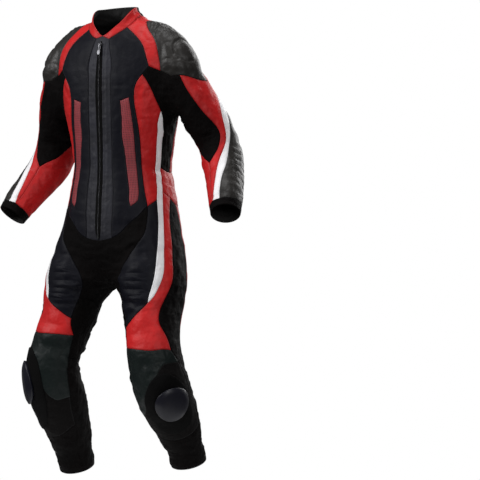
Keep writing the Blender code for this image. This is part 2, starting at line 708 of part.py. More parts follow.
def heights(name, kind, u, v, side, place, on_edge):
    """How far a node's under side and top lie outside the skin."""
    plain = name.removesuffix("_left").removesuffix("_right")
    if plain == "zip":
        return SEAM_GAP, SEAM_GAP + ZIP["thick"]
    if plain == "hump":
        rise = HUMP["edge"] if on_edge else HUMP["rise"] * (1 - ((v - HUMP["middle"]) / HUMP["reach"]) ** 2)
        return SEAM_GAP, SEAM_GAP + rise
    if plain == "knee_base":
        return SEAM_GAP, SEAM_GAP + KNEE["base"]
    if plain == "knee_slider":
        low = 2 * SEAM_GAP + KNEE["base"]
        off = math.hypot((u - KNEE["centre"][0]) / KNEE["reach"][0], (v - KNEE["centre"][1]) / KNEE["reach"][1])
        return low, low + mix(KNEE["middle"], KNEE["rim"], min(off, 1) ** 3)
    high = rib_height(kind, u, v)
    if plain == "shoulder" and not on_edge:
        cup = sleeve_point(*CUP["centre"], side)
        high += CUP["rise"] * max(0.15, 1 - ((place - cup).length / CUP["reach"]) ** 2)
    return -WALL, high


def make_object(name, mesh_verts, mesh_faces, smooth):
    mesh = bpy.data.meshes.new(name)
    mesh.from_pydata(mesh_verts, [], mesh_faces)
    mesh.polygons.foreach_set("use_smooth", smooth)
    mesh.update()
    made = bpy.data.objects.new(name, mesh)
    bpy.context.scene.collection.objects.link(made)
    colour, roughness, metallic = FINISHES[finish_of(name)]
    material = bpy.data.materials.new(name)
    material.use_nodes = True
    shader = material.node_tree.nodes["Principled BSDF"]
    shader.inputs["Base Color"].default_value = (*colour, 1.0)
    shader.inputs["Roughness"].default_value = roughness
    shader.inputs["Metallic"].default_value = metallic
    mesh.materials.append(material)
    return made


def finish_of(name):
    plain = name.removesuffix("_left").removesuffix("_right")
    return next(finish for finish, names in NODE_FINISHES.items() if plain in names)


def retreat(skin, faces, ways):
    """Draws each edge point of a panel back from its seam, into the panel."""
    sides = {}
    for corners in faces:
        for i in range(3):
            sides[(corners[i - 1], corners[i])] = corners
    edge = [pair for pair in sides if (pair[1], pair[0]) not in sides]
    inward = {}
    for first, last in edge:
        way = (skin.places[last] - skin.places[first]).normalized()
        for i in (first, last):
            inward.setdefault(i, []).append(ways[i].cross(way).normalized())
    shift = {}
    for i, turns in inward.items():
        total = sum(turns, Vector())
        spread_out = 1 + turns[0].dot(turns[-1]) if len(turns) == 2 else 1
        shift[i] = total / max(spread_out, 0.1) * SEAM_GAP / 2
    return edge, shift


def wall(skin, name, faces, ways):
    """A panel's wall between its under side and its top, closed at the rim."""
    edge, shift = retreat(skin, faces, ways)
    points = sorted({i for corners in faces for i in corners})
    order = {i: k for k, i in enumerate(points)}
    low, high = [], []
    for i in points:
        place = skin.places[i] + shift.get(i, Vector())
        under, over = heights(name, *skin.sources[i], skin.places[i], i in shift)
        low.append(place + ways[i] * under)
        high.append(place + ways[i] * over)
    count = len(points)
    made = [[order[i] for i in corners] for corners in faces]
    smooth = [True] * (2 * len(faces))
    made += [[order[i] + count for i in reversed(corners)] for corners in faces]
    for first, last in edge:
        a, b = order[first], order[last]
        if first < last:
            made += [[b, a, b + count], [a, a + count, b + count]]
        else:
            made += [[b, a, a + count], [b, a + count, b + count]]
        smooth += [False, False]
    return make_object(name, high + low, made, smooth)


def zip_frame():
    """Where the slider sits: its place on the zip, and its ways across, down and out."""
    place = body_point(0, SLIDER["down"])
    down = (body_point(0, SLIDER["down"] + 0.01) - body_point(0, SLIDER["down"] - 0.01)).normalized()
    across = Vector((-1, 0, 0))
    out = across.cross(down).normalized()
    base = place + out * (2 * SEAM_GAP + ZIP["thick"] + SLIDER["clear"])
    return base, across, down, out


def blocks(name, parts, frame):
    """Rounded blocks, joined into one solid. Each has its middle and size across, down and out."""
    base, across, down, out = frame
    turn = Matrix((across, down, out)).transposed().to_4x4()
    joined = None
    for middle, size, corner in parts:
        made = bmesh.new()
        bmesh.ops.create_cube(made, size=1)
        bmesh.ops.scale(made, vec=size, verts=made.verts)
        upright = [e for e in made.edges if abs((e.verts[0].co - e.verts[1].co).z) > 1e-6]
        if corner:
            bmesh.ops.bevel(made, geom=upright, offset=corner, segments=3, affect="EDGES")
        bmesh.ops.translate(made, vec=middle, verts=made.verts)
        bmesh.ops.triangulate(made, faces=made.faces)
        mesh = bpy.data.meshes.new(name)
        made.to_mesh(mesh)
        made.free()
        piece = bpy.data.objects.new(name + "_piece", mesh)
        bpy.context.scene.collection.objects.link(piece)
        if joined is None:
            joined = piece
            continue
        union = joined.modifiers.new("join", "BOOLEAN")
        union.operation = "UNION"
        union.solver = "EXACT"
        union.object = piece
        bpy.context.view_layer.update()
        graph = bpy.context.evaluated_depsgraph_get()
        result = bpy.data.meshes.new_from_object(joined.evaluated_get(graph))
        joined.modifiers.clear()
        joined.data = result
        bpy.data.objects.remove(piece)
    verts = [base + turn.to_3x3() @ v.co for v in joined.data.vertices]
    faces = [list(p.vertices) for p in joined.data.polygons]
    bpy.data.objects.remove(joined)
    return make_object(name, verts, faces, [False] * len(faces))


# Middle and size of each block, across, down and out from the zip, and its corner
SLIDER_BLOCKS = (
    ((0, 0, 0.0022), (0.0110, 0.0170, 0.0044), 0.003),
    ((0, -0.0035, 0.0060), (0.0024, 0.0018, 0.0050), 0),
    ((0, 0.0045, 0.0060), (0.0024, 0.0018, 0.0050), 0),
    ((0, 0.0005, 0.00825), (0.0028, 0.0104, 0.0015), 0),
)
PULL_BLOCKS = (
    ((0, 0.0005, 0.0059), (0.0090, 0.0016, 0.0016), 0),
    ((0.0035, 0.0066, 0.0059), (0.0017, 0.0124, 0.0013), 0),
    ((-0.0035, 0.0066, 0.0059), (0.0017, 0.0124, 0.0013), 0),
    ((0, 0.0215, 0.0059), (0.0096, 0.0210, 0.0018), 0.002),
)


def build():
    for old in list(bpy.data.objects):
        bpy.data.objects.remove(old, do_unlink=True)
    skin = Skin()
    skin.add_chart("body", body_chart(), body_point, True)
    skin.add_chart("sleeve", sleeve_chart(), sleeve_point, False)
    skin.fold()
    ways = skin.normals()
    nodes = {}
    for corners, layers in skin.faces:
        for name in layers:
            nodes.setdefault(name, []).append(corners)
    for name, faces in nodes.items():
        wall(skin, name, faces, ways)
    frame = zip_frame()
    blocks("zip_slider", SLIDER_BLOCKS, frame)
    blocks("zip_pull", PULL_BLOCKS, frame)


build()
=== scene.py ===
import math

import bmesh
import bpy
import numpy as np
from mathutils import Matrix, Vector
from mathutils.bvhtree import BVHTree
from mathutils.kdtree import KDTree


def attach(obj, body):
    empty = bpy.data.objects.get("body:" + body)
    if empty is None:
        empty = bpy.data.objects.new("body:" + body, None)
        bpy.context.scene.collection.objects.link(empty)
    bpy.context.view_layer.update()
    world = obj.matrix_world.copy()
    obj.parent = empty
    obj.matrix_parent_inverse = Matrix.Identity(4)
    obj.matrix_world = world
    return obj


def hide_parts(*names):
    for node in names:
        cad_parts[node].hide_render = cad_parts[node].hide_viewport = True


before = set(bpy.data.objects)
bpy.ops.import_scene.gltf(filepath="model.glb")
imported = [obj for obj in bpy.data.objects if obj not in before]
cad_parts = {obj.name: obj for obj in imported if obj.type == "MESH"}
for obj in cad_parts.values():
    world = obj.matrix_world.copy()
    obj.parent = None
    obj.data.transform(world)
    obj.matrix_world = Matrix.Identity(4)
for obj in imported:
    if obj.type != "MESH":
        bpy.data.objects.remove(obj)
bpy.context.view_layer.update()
scene = bpy.context.scene

# The worn form in millimetres: rings of the torso, the leg and the sleeve, by the way down the cloth
torsoForm = {
    "names": ("down", "sideZ", "frontZ", "backZ", "halfWidth", "frontY", "sideY", "backY"),
    "rows": (
        (-45, 62, -12, 72, 70, -112, -40, 18), (0, 30, -36, 30, 80, -120, -36, 36),
        (50, 17, -80, -2, 132, -131, -28, 84), (100, 2, -125, -48, 177, -136, -22, 110),
        (150, -27, -168, -100, 208, -138, -16, 122), (200, -92, -211, -160, 212, -138, -10, 129),
        (250, -182, -256, -224, 200, -137, -4, 130), (300, -282, -302, -292, 183, -135, 0, 128),
        (340, -340, -340, -340, 168, -133, 3, 126), (390, -390, -390, -390, 159, -131, 5, 125),
        (440, -440, -440, -440, 156, -130, 6, 123), (540, -540, -540, -540, 175, -138, 3, 130),
        (640, -640, -640, -640, 195, -148, -8, 134), (740, -740, -740, -740, 221, -158, -28, 122),
        (800, -800, -800, -800, 240, -150, -45, 80),
    ),
}
limbNames = ("down", "x", "y", "z", "halfWidth", "halfDepth")
legForm = {
    "names": limbNames,
    "rows": (
        (600, 98, -10, -600, 98, 135), (700, 110, -24, -700, 110, 130),
        (800, 121, -44, -800, 121, 112), (850, 141, -57, -850, 100, 102),
        (900, 151, -72, -900, 87, 93), (970, 169, -96, -970, 81, 86),
        (1050, 185, -106, -1050, 85, 90), (1120, 190, -84, -1118, 87, 92),
        (1170, 194, -58, -1165, 84, 90), (1230, 200, -17, -1215, 77, 83),
        (1280, 203, 10, -1262, 69, 75), (1340, 206, 37, -1316, 60, 66),
        (1400, 207, 55, -1370, 54, 60),
    ),
}
sleeveForm = {
    "names": limbNames,
    "rows": (
        (140, 252, 34, -258, 72, 76), (200, 280, 70, -318, 71, 74), (260, 303, 77, -382, 68, 71),
        (320, 328, 58, -436, 62, 65), (380, 352, 24, -485, 56, 58), (440, 374, -12, -533, 52, 53),
        (500, 392, -44, -580, 46, 47),
    ),
}
legSides = {
    "names": ("down", "leftLift", "rightSlide"),
    "rows": (
        (800, 0, 0), (970, 0, 28), (1100, 4, 50), (1250, 12, 28), (1400, 18, 0),
    ),
}
fit = {
    "hip": 0.55,
    "crotch": 0.80,
    "levelling": 0.12,  # so far below the crotch the leg's rings come to lie across the leg
    "squareness": 2.3,
    "tilt": 1.3,  # how fast the torso's rings rise from their sides
    "saddle": (6, 2.4),  # how narrow and how round the form between the legs is
    "slopeStep": 0.01,
    "cap": 0.14,
    "capReach": 0.95,
    "capTopWay": (0.93, -0.20, -0.30),
    "capBottomWay": (0.45, 0.10, -0.88),
    "armhole": (92.0, 0.226, 34.0, 0.080),  # its middle round and down the body, and its reach each way
    "armholeRounding": (0.045, 0.5),  # on the sleeve in metres, on the body as a share of the armhole
    "bodyScale": 0.0028,  # metres of cloth to a degree round
    "sleeveScale": 0.0012,
}


def curve(t, start, leave, end, arrive):
    # a smooth way between two places that leaves and arrives at the given slopes
    return (start * (1 + 2 * t) * (1 - t) ** 2 + leave * t * (1 - t) ** 2
            + end * t * t * (3 - 2 * t) - arrive * t * t * (1 - t))


class Sizes:
    # smooth curves through a table's rows, ready to be read at many places at once
    def __init__(self, table):
        rows = np.array(table["rows"]) / 1000
        places = rows[:, 0]
        slopes = np.empty_like(rows)
        slopes[1:-1] = (rows[2:] - rows[:-2]) / (places[2:] - places[:-2])[:, None]
        slopes[0] = (rows[1] - rows[0]) / (places[1] - places[0])
        slopes[-1] = (rows[-1] - rows[-2]) / (places[-1] - places[-2])
        fine = 0.001  # the curves are read off this often
        self.at = np.arange(places[0], places[-1] + fine / 2, fine)
        index = np.clip(np.searchsorted(places, self.at, side="right") - 1, 0, len(places) - 2)
        span = (places[index + 1] - places[index])[:, None]
        t = np.clip((self.at - places[index])[:, None] / span, 0, 1)
        found = curve(t, rows[index], slopes[index] * span, rows[index + 1], slopes[index + 1] * span)
        self.columns = dict(zip(table["names"], found.T))

    def __call__(self, down, *names):
        return [np.interp(down, self.at, self.columns[name]) for name in names or self.columns]


torso, leg, sleeve, legSide = (Sizes(t) for t in (torsoForm, legForm, sleeveForm, legSides))


def smoothStep(low, high, value):
    t = np.clip((value - low) / (high - low), 0, 1)
    return t * t * (3 - 2 * t)


def unit(ways):
    return ways / np.maximum(np.linalg.norm(ways, axis=1), 1e-9)[:, None]


def torsoPlace(around, down):
    _, sideZ, frontZ, backZ, width, frontY, sideY, backY = torso(down)
    angle = np.radians(around)
    power = 2 / fit["squareness"]
    cosine = np.cos(angle)
    front = cosine > 0
    fore = np.abs(cosine) ** power
    y = sideY + (np.where(front, frontY, backY) - sideY) * fore
    z = sideZ + (np.where(front, frontZ, backZ) - sideZ) * np.abs(cosine) ** fit["tilt"]
    return np.stack((width * np.abs(np.sin(angle)) ** power, y, z), 1)


def limbPlace(sizes, angle, down, level):
    # a limb's middle, the ways from it to a point across and to the front, and the way down
    step = fit["slopeStep"]
    centre, after, before = (np.stack(sizes(at, "x", "y", "z"), 1) for at in (down, down + step, down - step))
    way = unit(after - before)
    way = unit(way + (np.array((0, 0, -1.0)) - way) * level[:, None])
    across = unit(np.array((1.0, 0, 0)) - way * way[:, :1])
    fore = np.cross(across, way)
    fore *= np.where(fore[:, 1] < 0, 1, -1)[:, None]
    width, depth = sizes(down, "halfWidth", "halfDepth")
    return centre, across * (width * np.cos(angle))[:, None], fore * (depth * np.sin(angle))[:, None], way


def bodyPlace(around, down, side):
    hip, crotch = fit["hip"], fit["crotch"]
    narrow, roundness = fit["saddle"]
    lift, slide = legSide(down, "leftLift", "rightSlide")
    below = down > crotch
    lift = np.where(below, lift * side, 0)
    down = np.where(below & (side < 0), down - slide, down)
    level = 1 - smoothStep(crotch, crotch + fit["levelling"], down)
    centre, across, fore, _ = limbPlace(leg, np.radians(2 * around), down, level)
    centre[:, 0] = np.where(down <= crotch, leg(down, "halfWidth")[0], centre[:, 0])
    onLeg = centre - across + fore
    share = np.clip((down - hip) / (crotch - hip), 0, 1)
    middle = np.abs(np.cos(np.radians(around))) ** narrow
    rounded = 1 - np.sqrt(np.maximum(1 - share ** roundness, 0))
    blend = smoothStep(0, 1, share) * (1 - middle) + rounded * middle
    onTorso = torsoPlace(around, np.minimum(down, crotch))
    place = onTorso + (onLeg - onTorso) * blend[:, None]
    place[:, 0] *= side
    place[:, 2] += lift
    return place


def sleevePlace(turn, down, side):
    angle = np.radians(turn)
    centre, across, fore, way = limbPlace(sleeve, angle, np.maximum(down, fit["cap"]), np.zeros_like(down))
    place = centre + across + fore
    middle, hole, reachRound, reachDown = fit["armhole"]
    start = torsoPlace(middle - reachRound * np.sin(angle), hole - reachDown * np.cos(angle))
    reach = (np.linalg.norm(place - start, axis=1) * fit["capReach"])[:, None]
    low = ((1 - np.cos(angle)) / 2)[:, None]
    top, bottom = (np.array(fit[k]) for k in ("capTopWay", "capBottomWay"))
    leave = unit(top + (bottom - top) * low) * reach
    t = np.clip(down / fit["cap"], 0, 1)[:, None]
    place = curve(t, start, leave, place, way * reach)
    place[:, 0] *= side
    return place


charts = {
    "body": {"place": bodyPlace, "u": (0, 180, 3), "v": (-0.045, 1.40, 0.012), "turn": -1},
    "sleeve": {"place": sleevePlace, "u": (-180, 180, 7.5), "v": (0, 0.50, 0.012), "turn": 1},
}
chartStep = (0.5, 0.002)  # how far round and down to look for the ways of a chart


def chartFrame(kind, u, v, side):
    # place, ways along u and v, and the way out, at each chart point
    place = charts[kind]["place"]
    stepU, stepV = chartStep
    lowV, highV = charts[kind]["v"][:2]
    before, after = np.maximum(v - stepV, lowV), np.minimum(v + stepV, highV)
    less, more = u - stepU, u + stepU
    if kind == "body":
        less, more = np.maximum(less, 0), np.minimum(more, 180)
    alongU = (place(more, v, side) - place(less, v, side)) / (more - less)[:, None]
    alongV = (place(u, after, side) - place(u, before, side)) / (after - before)[:, None]
    out = unit(np.cross(alongU, alongV)) * (charts[kind]["turn"] * side)[:, None]
    return place(u, v, side), alongU, alongV, out


def both(*names):
    return tuple(f"{name}_{side}" for name in names for side in ("left", "right"))


# What each sewn panel is made of
panels = {
    "redLeather": both("collar_front", "yoke", "side_red", "back_red", "thigh_red", "thigh_stripe",
                       "sleeve_red", "forearm_red") + ("lumbar",),
    "darkLeather": both("chest", "thigh_front") + ("back",),
    "kneeLeather": both("knee"),
    "greyLeather": both("shoulder", "elbow"),
    "seatLeather": ("seat",),
    "placketCloth": ("placket",),
    "whiteLeather": both("side_white", "sleeve_white"),
    "blackStretch": both("side_black", "leg_outer", "leg_back", "shin", "sleeve_black", "cuff")
    + ("collar_back", "crotch"),
    "redMesh": both("chest_inset", "back_inset"),
}
panelNames = [name for names in panels.values() for name in names]

# Each panel's cut: width and length in millimetres, and how many percent of that rectangle it fills
cuts = {
    "back": (407, 454, 73), "back_inset": (51, 184, 75), "back_red": (112, 452, 53),
    "chest": (115, 652, 64), "chest_inset": (37, 325, 83), "collar_back": (202, 47, 85),
    "collar_front": (95, 53, 80), "crotch": (274, 504, 57), "cuff": (297, 28, 90), "elbow": (245, 300, 86),
    "forearm_red": (142, 293, 76), "knee_left": (342, 289, 72), "knee_right": (407, 291, 68),
    "leg_back": (318, 650, 62), "leg_outer": (137, 869, 64), "lumbar": (553, 125, 85),
    "placket": (98, 666, 81), "seat": (444, 275, 81), "shin_left": (166, 162, 69),
    "shin_right": (221, 167, 65), "shoulder": (360, 204, 51), "side_black": (100, 221, 49),
    "side_red": (104, 378, 54), "side_white": (31, 654, 63), "sleeve_black": (292, 336, 45),
    "sleeve_red": (321, 472, 32), "sleeve_white": (130, 340, 34), "thigh_front": (145, 400, 52),
    "thigh_red": (150, 499, 35), "thigh_stripe": (49, 412, 69), "yoke": (66, 196, 63),
}

skinBuild = {
    "same": 1e-6,  # points nearer than this are one point
    "rim": 0.0052,  # shorter edges mark the rim between a wall's two sides
    "weld": 0.0016,  # wider than the gap between two panels at a corner
    "slitSides": 8,  # the most sides of a gap that is closed; cuffs and hems have more
    "strays": 5,  # a panel's cut-off bits with fewer faces go to the panel beside them
    "levels": 3,
    "fold": math.radians(55),  # cloth folded tighter than this is evened out, in so many rounds
    "foldRounds": 24,
    "underArm": -0.20,
    # where ragged panel edges are evened out: place, reach and rounds
    "ragged": (((0.185, 0.060, -0.265), 0.076, 140), ((-0.185, 0.060, -0.265), 0.076, 140)),
    "keepRing": (0.15, 1.0),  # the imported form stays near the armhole, and where it leaves the charts
    "keepFar": (0.003, 0.008),
    "armholeSoftening": (8, 20),  # rounds of smoothing all round the armhole, and more of them under the arm
    "lip": 0.0012,
    "lipDrop": 0.0011,
    "overlap": 0.0006,  # how far two walls run into each other behind their seam
    "crown": (0.0009, 0.010),  # how far, and how soon, a leather panel stands up from its seams
    "seamRounds": 26,  # how often the seams' bends are softened
    "corner": math.radians(62),  # a sharper turn stays a corner, measured so many points to each side
    "cornerSteps": 7,
    "wall": 0.0022,
}


def treeOf(points):
    tree = KDTree(len(points))
    for index, point in enumerate(points):
        tree.insert(point, index)
    tree.balance()
    return tree


def layGrid(side):
    # a search tree over both charts on one side of the suit, and each point's chart, u, v and way out
    found = []
    for number, (kind, chart) in enumerate(charts.items()):
        ranges = (chart["u"], chart["v"])
        runs = (np.arange(low, high + skinBuild["same"], step) for low, high, step in ranges)
        u, v = (run.ravel() for run in np.meshgrid(*runs))
        place, _, _, out = chartFrame(kind, u, v, np.full_like(u, side))
        found.append(np.column_stack((place, np.full_like(u, number), u, v, out)))
    rows = np.concatenate(found)
    return treeOf(rows[:, :3]), rows[:, 3:]


grids = {side: layGrid(side) for side in (1, -1)}


def nearestRow(place):
    tree, rows = grids[1 if place[0] >= 0 else -1]
    return rows[tree.find(place)[1]]


search = {"rounds": 3, "steps": (4, 0.02), "least": 1e-12}  # its steps are the longest ones round and down


def locate(points):
    # chart, u and v of points that lie near the skin
    stepU, stepV = search["steps"]
    side = np.where(points[:, 0] >= 0, 1, -1)
    kind, u, v = np.array([nearestRow(point)[:3] for point in points]).reshape(-1, 3).T
    for number, (name, chart) in enumerate(charts.items()):
        mine = kind == number
        p, s, a, d = points[mine], side[mine], u[mine], v[mine]
        for _ in range(search["rounds"]):
            place, alongU, alongV, _ = chartFrame(name, a, d, s)
            gap = p - place
            uu, vv, uv = (alongU ** 2).sum(1), (alongV ** 2).sum(1), (alongU * alongV).sum(1)
            gu, gv = (gap * alongU).sum(1), (gap * alongV).sum(1)
            scale = np.maximum(uu * vv - uv ** 2, search["least"])
            a = a + np.clip((gu * vv - gv * uv) / scale, -stepU, stepU)
            d = np.clip(d + np.clip((gv * uu - gu * uv) / scale, -stepV, stepV), *chart["v"][:2])
            if name == "body":
                a = np.clip(a, 0, 180)
        u[mine], v[mine] = a, d
    return kind, u, v, side


def opened(mesh):
    made = bmesh.new()
    made.from_mesh(mesh)
    return made


def closed(made, mesh):
    made.to_mesh(mesh)
    made.free()
    return mesh


def packed(name):
    made = opened(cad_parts[name].data)
    bmesh.ops.remove_doubles(made, verts=made.verts, dist=skinBuild["same"])
    return made


def regions(faces, mark):
    # the faces in groups that hang together and bear one mark
    unseen = set(faces)
    while unseen:
        waiting = [unseen.pop()]
        region = list(waiting)
        while waiting:
            face = waiting.pop()
            beside = {f for e in face.edges for f in e.link_faces if mark(f) == mark(face)} & unseen
            unseen -= beside
            waiting += beside
            region += beside
        yield region


def topOf(name, rim):
    # the outside of a packed wall
    made = packed(name)
    made.normal_update()
    walls = {f for f in made.faces if min(e.calc_length() for e in f.edges) > rim}
    dropped = [f for f in made.faces if f not in walls]
    for region in regions(walls, lambda face: 0):
        centres = [(f, f.calc_center_median()) for f in region]
        facing = sum(f.normal.dot(Vector(nearestRow(centre)[3:])) * f.calc_area() for f, centre in centres)
        if facing < 0:
            dropped += region
    bmesh.ops.delete(made, geom=dropped, context="FACES")
    return made


def addObject(name, data):
    made = bpy.data.objects.new(name, data)
    scene.collection.objects.link(made)
    return made


def evaluated(obj):
    bpy.context.view_layer.update()
    return bpy.data.meshes.new_from_object(obj.evaluated_get(bpy.context.evaluated_depsgraph_get()))


def modified(obj, kind, **settings):
    # the object's mesh with one modifier worked in
    modifier = obj.modifiers.new(kind, kind)
    for name, value in settings.items():
        setattr(modifier, name, value)
    mesh = evaluated(obj)
    obj.modifiers.clear()
    return mesh


def paint(mesh, *materials):
    mesh.materials.clear()
    for material in materials:
        mesh.materials.append(material)


def smoothMesh(made, levels, name):
    # the same surface with rounder, smaller faces
    bmesh.ops.join_triangles(
        made, faces=made.faces, cmp_materials=True, angle_face_threshold=0.7, angle_shape_threshold=1.2)
    holder = addObject(name, closed(made, bpy.data.meshes.new(name)))
    mesh = modified(holder, "SUBSURF", levels=levels, render_levels=levels, boundary_smooth="ALL")
    bpy.data.objects.remove(holder)
    return mesh


def column(items, name, kind=float, size=1):
    found = np.empty(len(items) * size, kind)
    items.foreach_get(name, found)
    return found


def readPoints(mesh):
    return column(mesh.vertices, "co", size=3).reshape(-1, 3)


def writePoints(mesh, points):
    mesh.vertices.foreach_set("co", points.ravel())
    mesh.update()


def smoothVerts(made, verts, rounds):
    for _ in range(rounds):
        bmesh.ops.smooth_vert(
            made, verts=verts, factor=0.5, use_axis_x=True, use_axis_y=True, use_axis_z=True)


def isSeam(edge):
    return edge.is_boundary or len({f.material_index for f in edge.link_faces}) > 1


def ringGap(kind, u, v):
    # how far a chart place is from the armhole, where 1 is the end of its rounding
    middle, hole, reachRound, reachDown = fit["armhole"]
    onSleeve, onBody = fit["armholeRounding"]
    away = np.hypot((u - middle) / reachRound, (v - hole) / reachDown) - 1
    return np.where(kind == 1, v / onSleeve, away / onBody)


def adoptStrays(whole):
    for region in regions(whole.faces, lambda face: face.material_index):
        if len(region) < skinBuild["strays"]:
            shared = {}
            for edge in {e for f in region for e in f.edges}:
                for face in set(edge.link_faces) - set(region):
                    number = face.material_index
                    shared[number] = shared.get(number, 0) + edge.calc_length()
            for face in region:
                face.material_index = max(shared, key=shared.get)


def openFolds(whole):
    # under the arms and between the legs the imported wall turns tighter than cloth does
    for _ in range(skinBuild["foldRounds"]):
        whole.normal_update()
        tight = {v for e in whole.edges if e.calc_face_angle(0) > skinBuild["fold"] for v in e.verts}
        near = tight | {e.other_vert(v) for v in tight for e in v.link_edges}
        smoothVerts(whole, [v for v in whole.verts if v in near and not v.is_boundary], 1)


def joinSkin():
    whole = bmesh.new()
    for number, name in enumerate(panelNames):
        top = topOf(name, skinBuild["rim"])
        for face in top.faces:
            face.material_index = number
        passing = closed(top, bpy.data.meshes.new("passing"))
        whole.from_mesh(passing)
        bpy.data.meshes.remove(passing)
    bmesh.ops.remove_doubles(whole, verts=whole.verts, dist=skinBuild["weld"])
    slits = [e for e in whole.edges if e.is_boundary]
    for face in bmesh.ops.holes_fill(whole, edges=slits, sides=skinBuild["slitSides"])["faces"]:
        longest = max((e for e in face.edges if len(e.link_faces) > 1), key=lambda e: e.calc_length())
        face.material_index = next(f for f in longest.link_faces if f is not face).material_index
    bmesh.ops.recalc_face_normals(whole, faces=whole.faces)
    adoptStrays(whole)
    openFolds(whole)
    return whole


def evenPanels(mesh):
    # where panels meet raggedly, their marks spread over the faces beside them, and the strongest one stays
    made = opened(mesh)
    for place, reach, rounds in skinBuild["ragged"]:
        chosen = [f for f in made.faces if (f.calc_center_median() - Vector(place)).length < reach]
        index = {face: i for i, face in enumerate(chosen)}
        numbers = sorted({f.material_index for f in chosen})
        share = np.zeros((len(chosen), len(numbers)))
        share[range(len(chosen)), [numbers.index(f.material_index) for f in chosen]] = 1
        beside = [tuple(index.get(f) for f in e.link_faces) for e in {e for f in chosen for e in f.edges}]
        first, second = np.array([pair for pair in beside if len(pair) == 2 and None not in pair]).T
        rim = [i for i, f in enumerate(chosen) if any(g not in index for e in f.edges for g in e.link_faces)]
        count = 1 + np.bincount(np.append(first, second), minlength=len(chosen))[:, None]
        fixed = share[rim]
        for _ in range(rounds):
            total = share.copy()
            np.add.at(total, first, share[second])
            np.add.at(total, second, share[first])
            share = total / count
            share[rim] = fixed
        for face, best in zip(chosen, share.argmax(1)):
            face.material_index = numbers[best]
    closed(made, mesh)


def refine(mesh, names):
    # halves the faces of the panels that carry the smallest forms; their seams keep their points
    made = opened(mesh)
    numbers = {panelNames.index(name) for name in names}
    inside = [e for e in made.edges if not isSeam(e) and e.link_faces[0].material_index in numbers]
    bmesh.ops.subdivide_edges(made, edges=inside, cuts=1, use_grid_fill=True)
    closed(made, mesh)


def smoothSeams(mesh):
    # rounds the seams' corners along their own run, and lets the faces beside them follow
    made = opened(mesh)
    ends = {}
    for edge in filter(isSeam, made.edges):
        for vert in edge.verts:
            ends.setdefault(vert, []).append(edge.other_vert(vert))
    runs = {vert: pair for vert, pair in ends.items() if len(pair) == 2}

    def ahead(vert, last):
        for _ in range(skinBuild["cornerSteps"]):
            if vert not in runs:
                break
            vert, last = next(n for n in runs[vert] if n is not last), vert
        return vert.co.copy()

    corners = []
    for vert, (a, b) in runs.items():
        before, after = vert.co - ahead(a, vert), ahead(b, vert) - vert.co
        if before.length > 0 < after.length and before.angle(after) > skinBuild["corner"]:
            corners.append(vert)
    # under the arm nothing stays a corner
    kind, u, v, _ = locate(np.array([vert.co for vert in corners]))
    stay = (ringGap(kind, u, v) > 1) | np.array([vert.co.z > skinBuild["underArm"] for vert in corners])
    for vert, stays in zip(corners, stay):
        if stays:
            del runs[vert]
    free = [v for v in made.verts if v not in ends]
    for _ in range(skinBuild["seamRounds"]):
        moved = [(vert, vert.co.lerp((a.co + b.co) / 2, 0.5)) for vert, (a, b) in runs.items()]
        for vert, place in moved:
            vert.co = place
        smoothVerts(made, free, 2)
    closed(made, mesh)


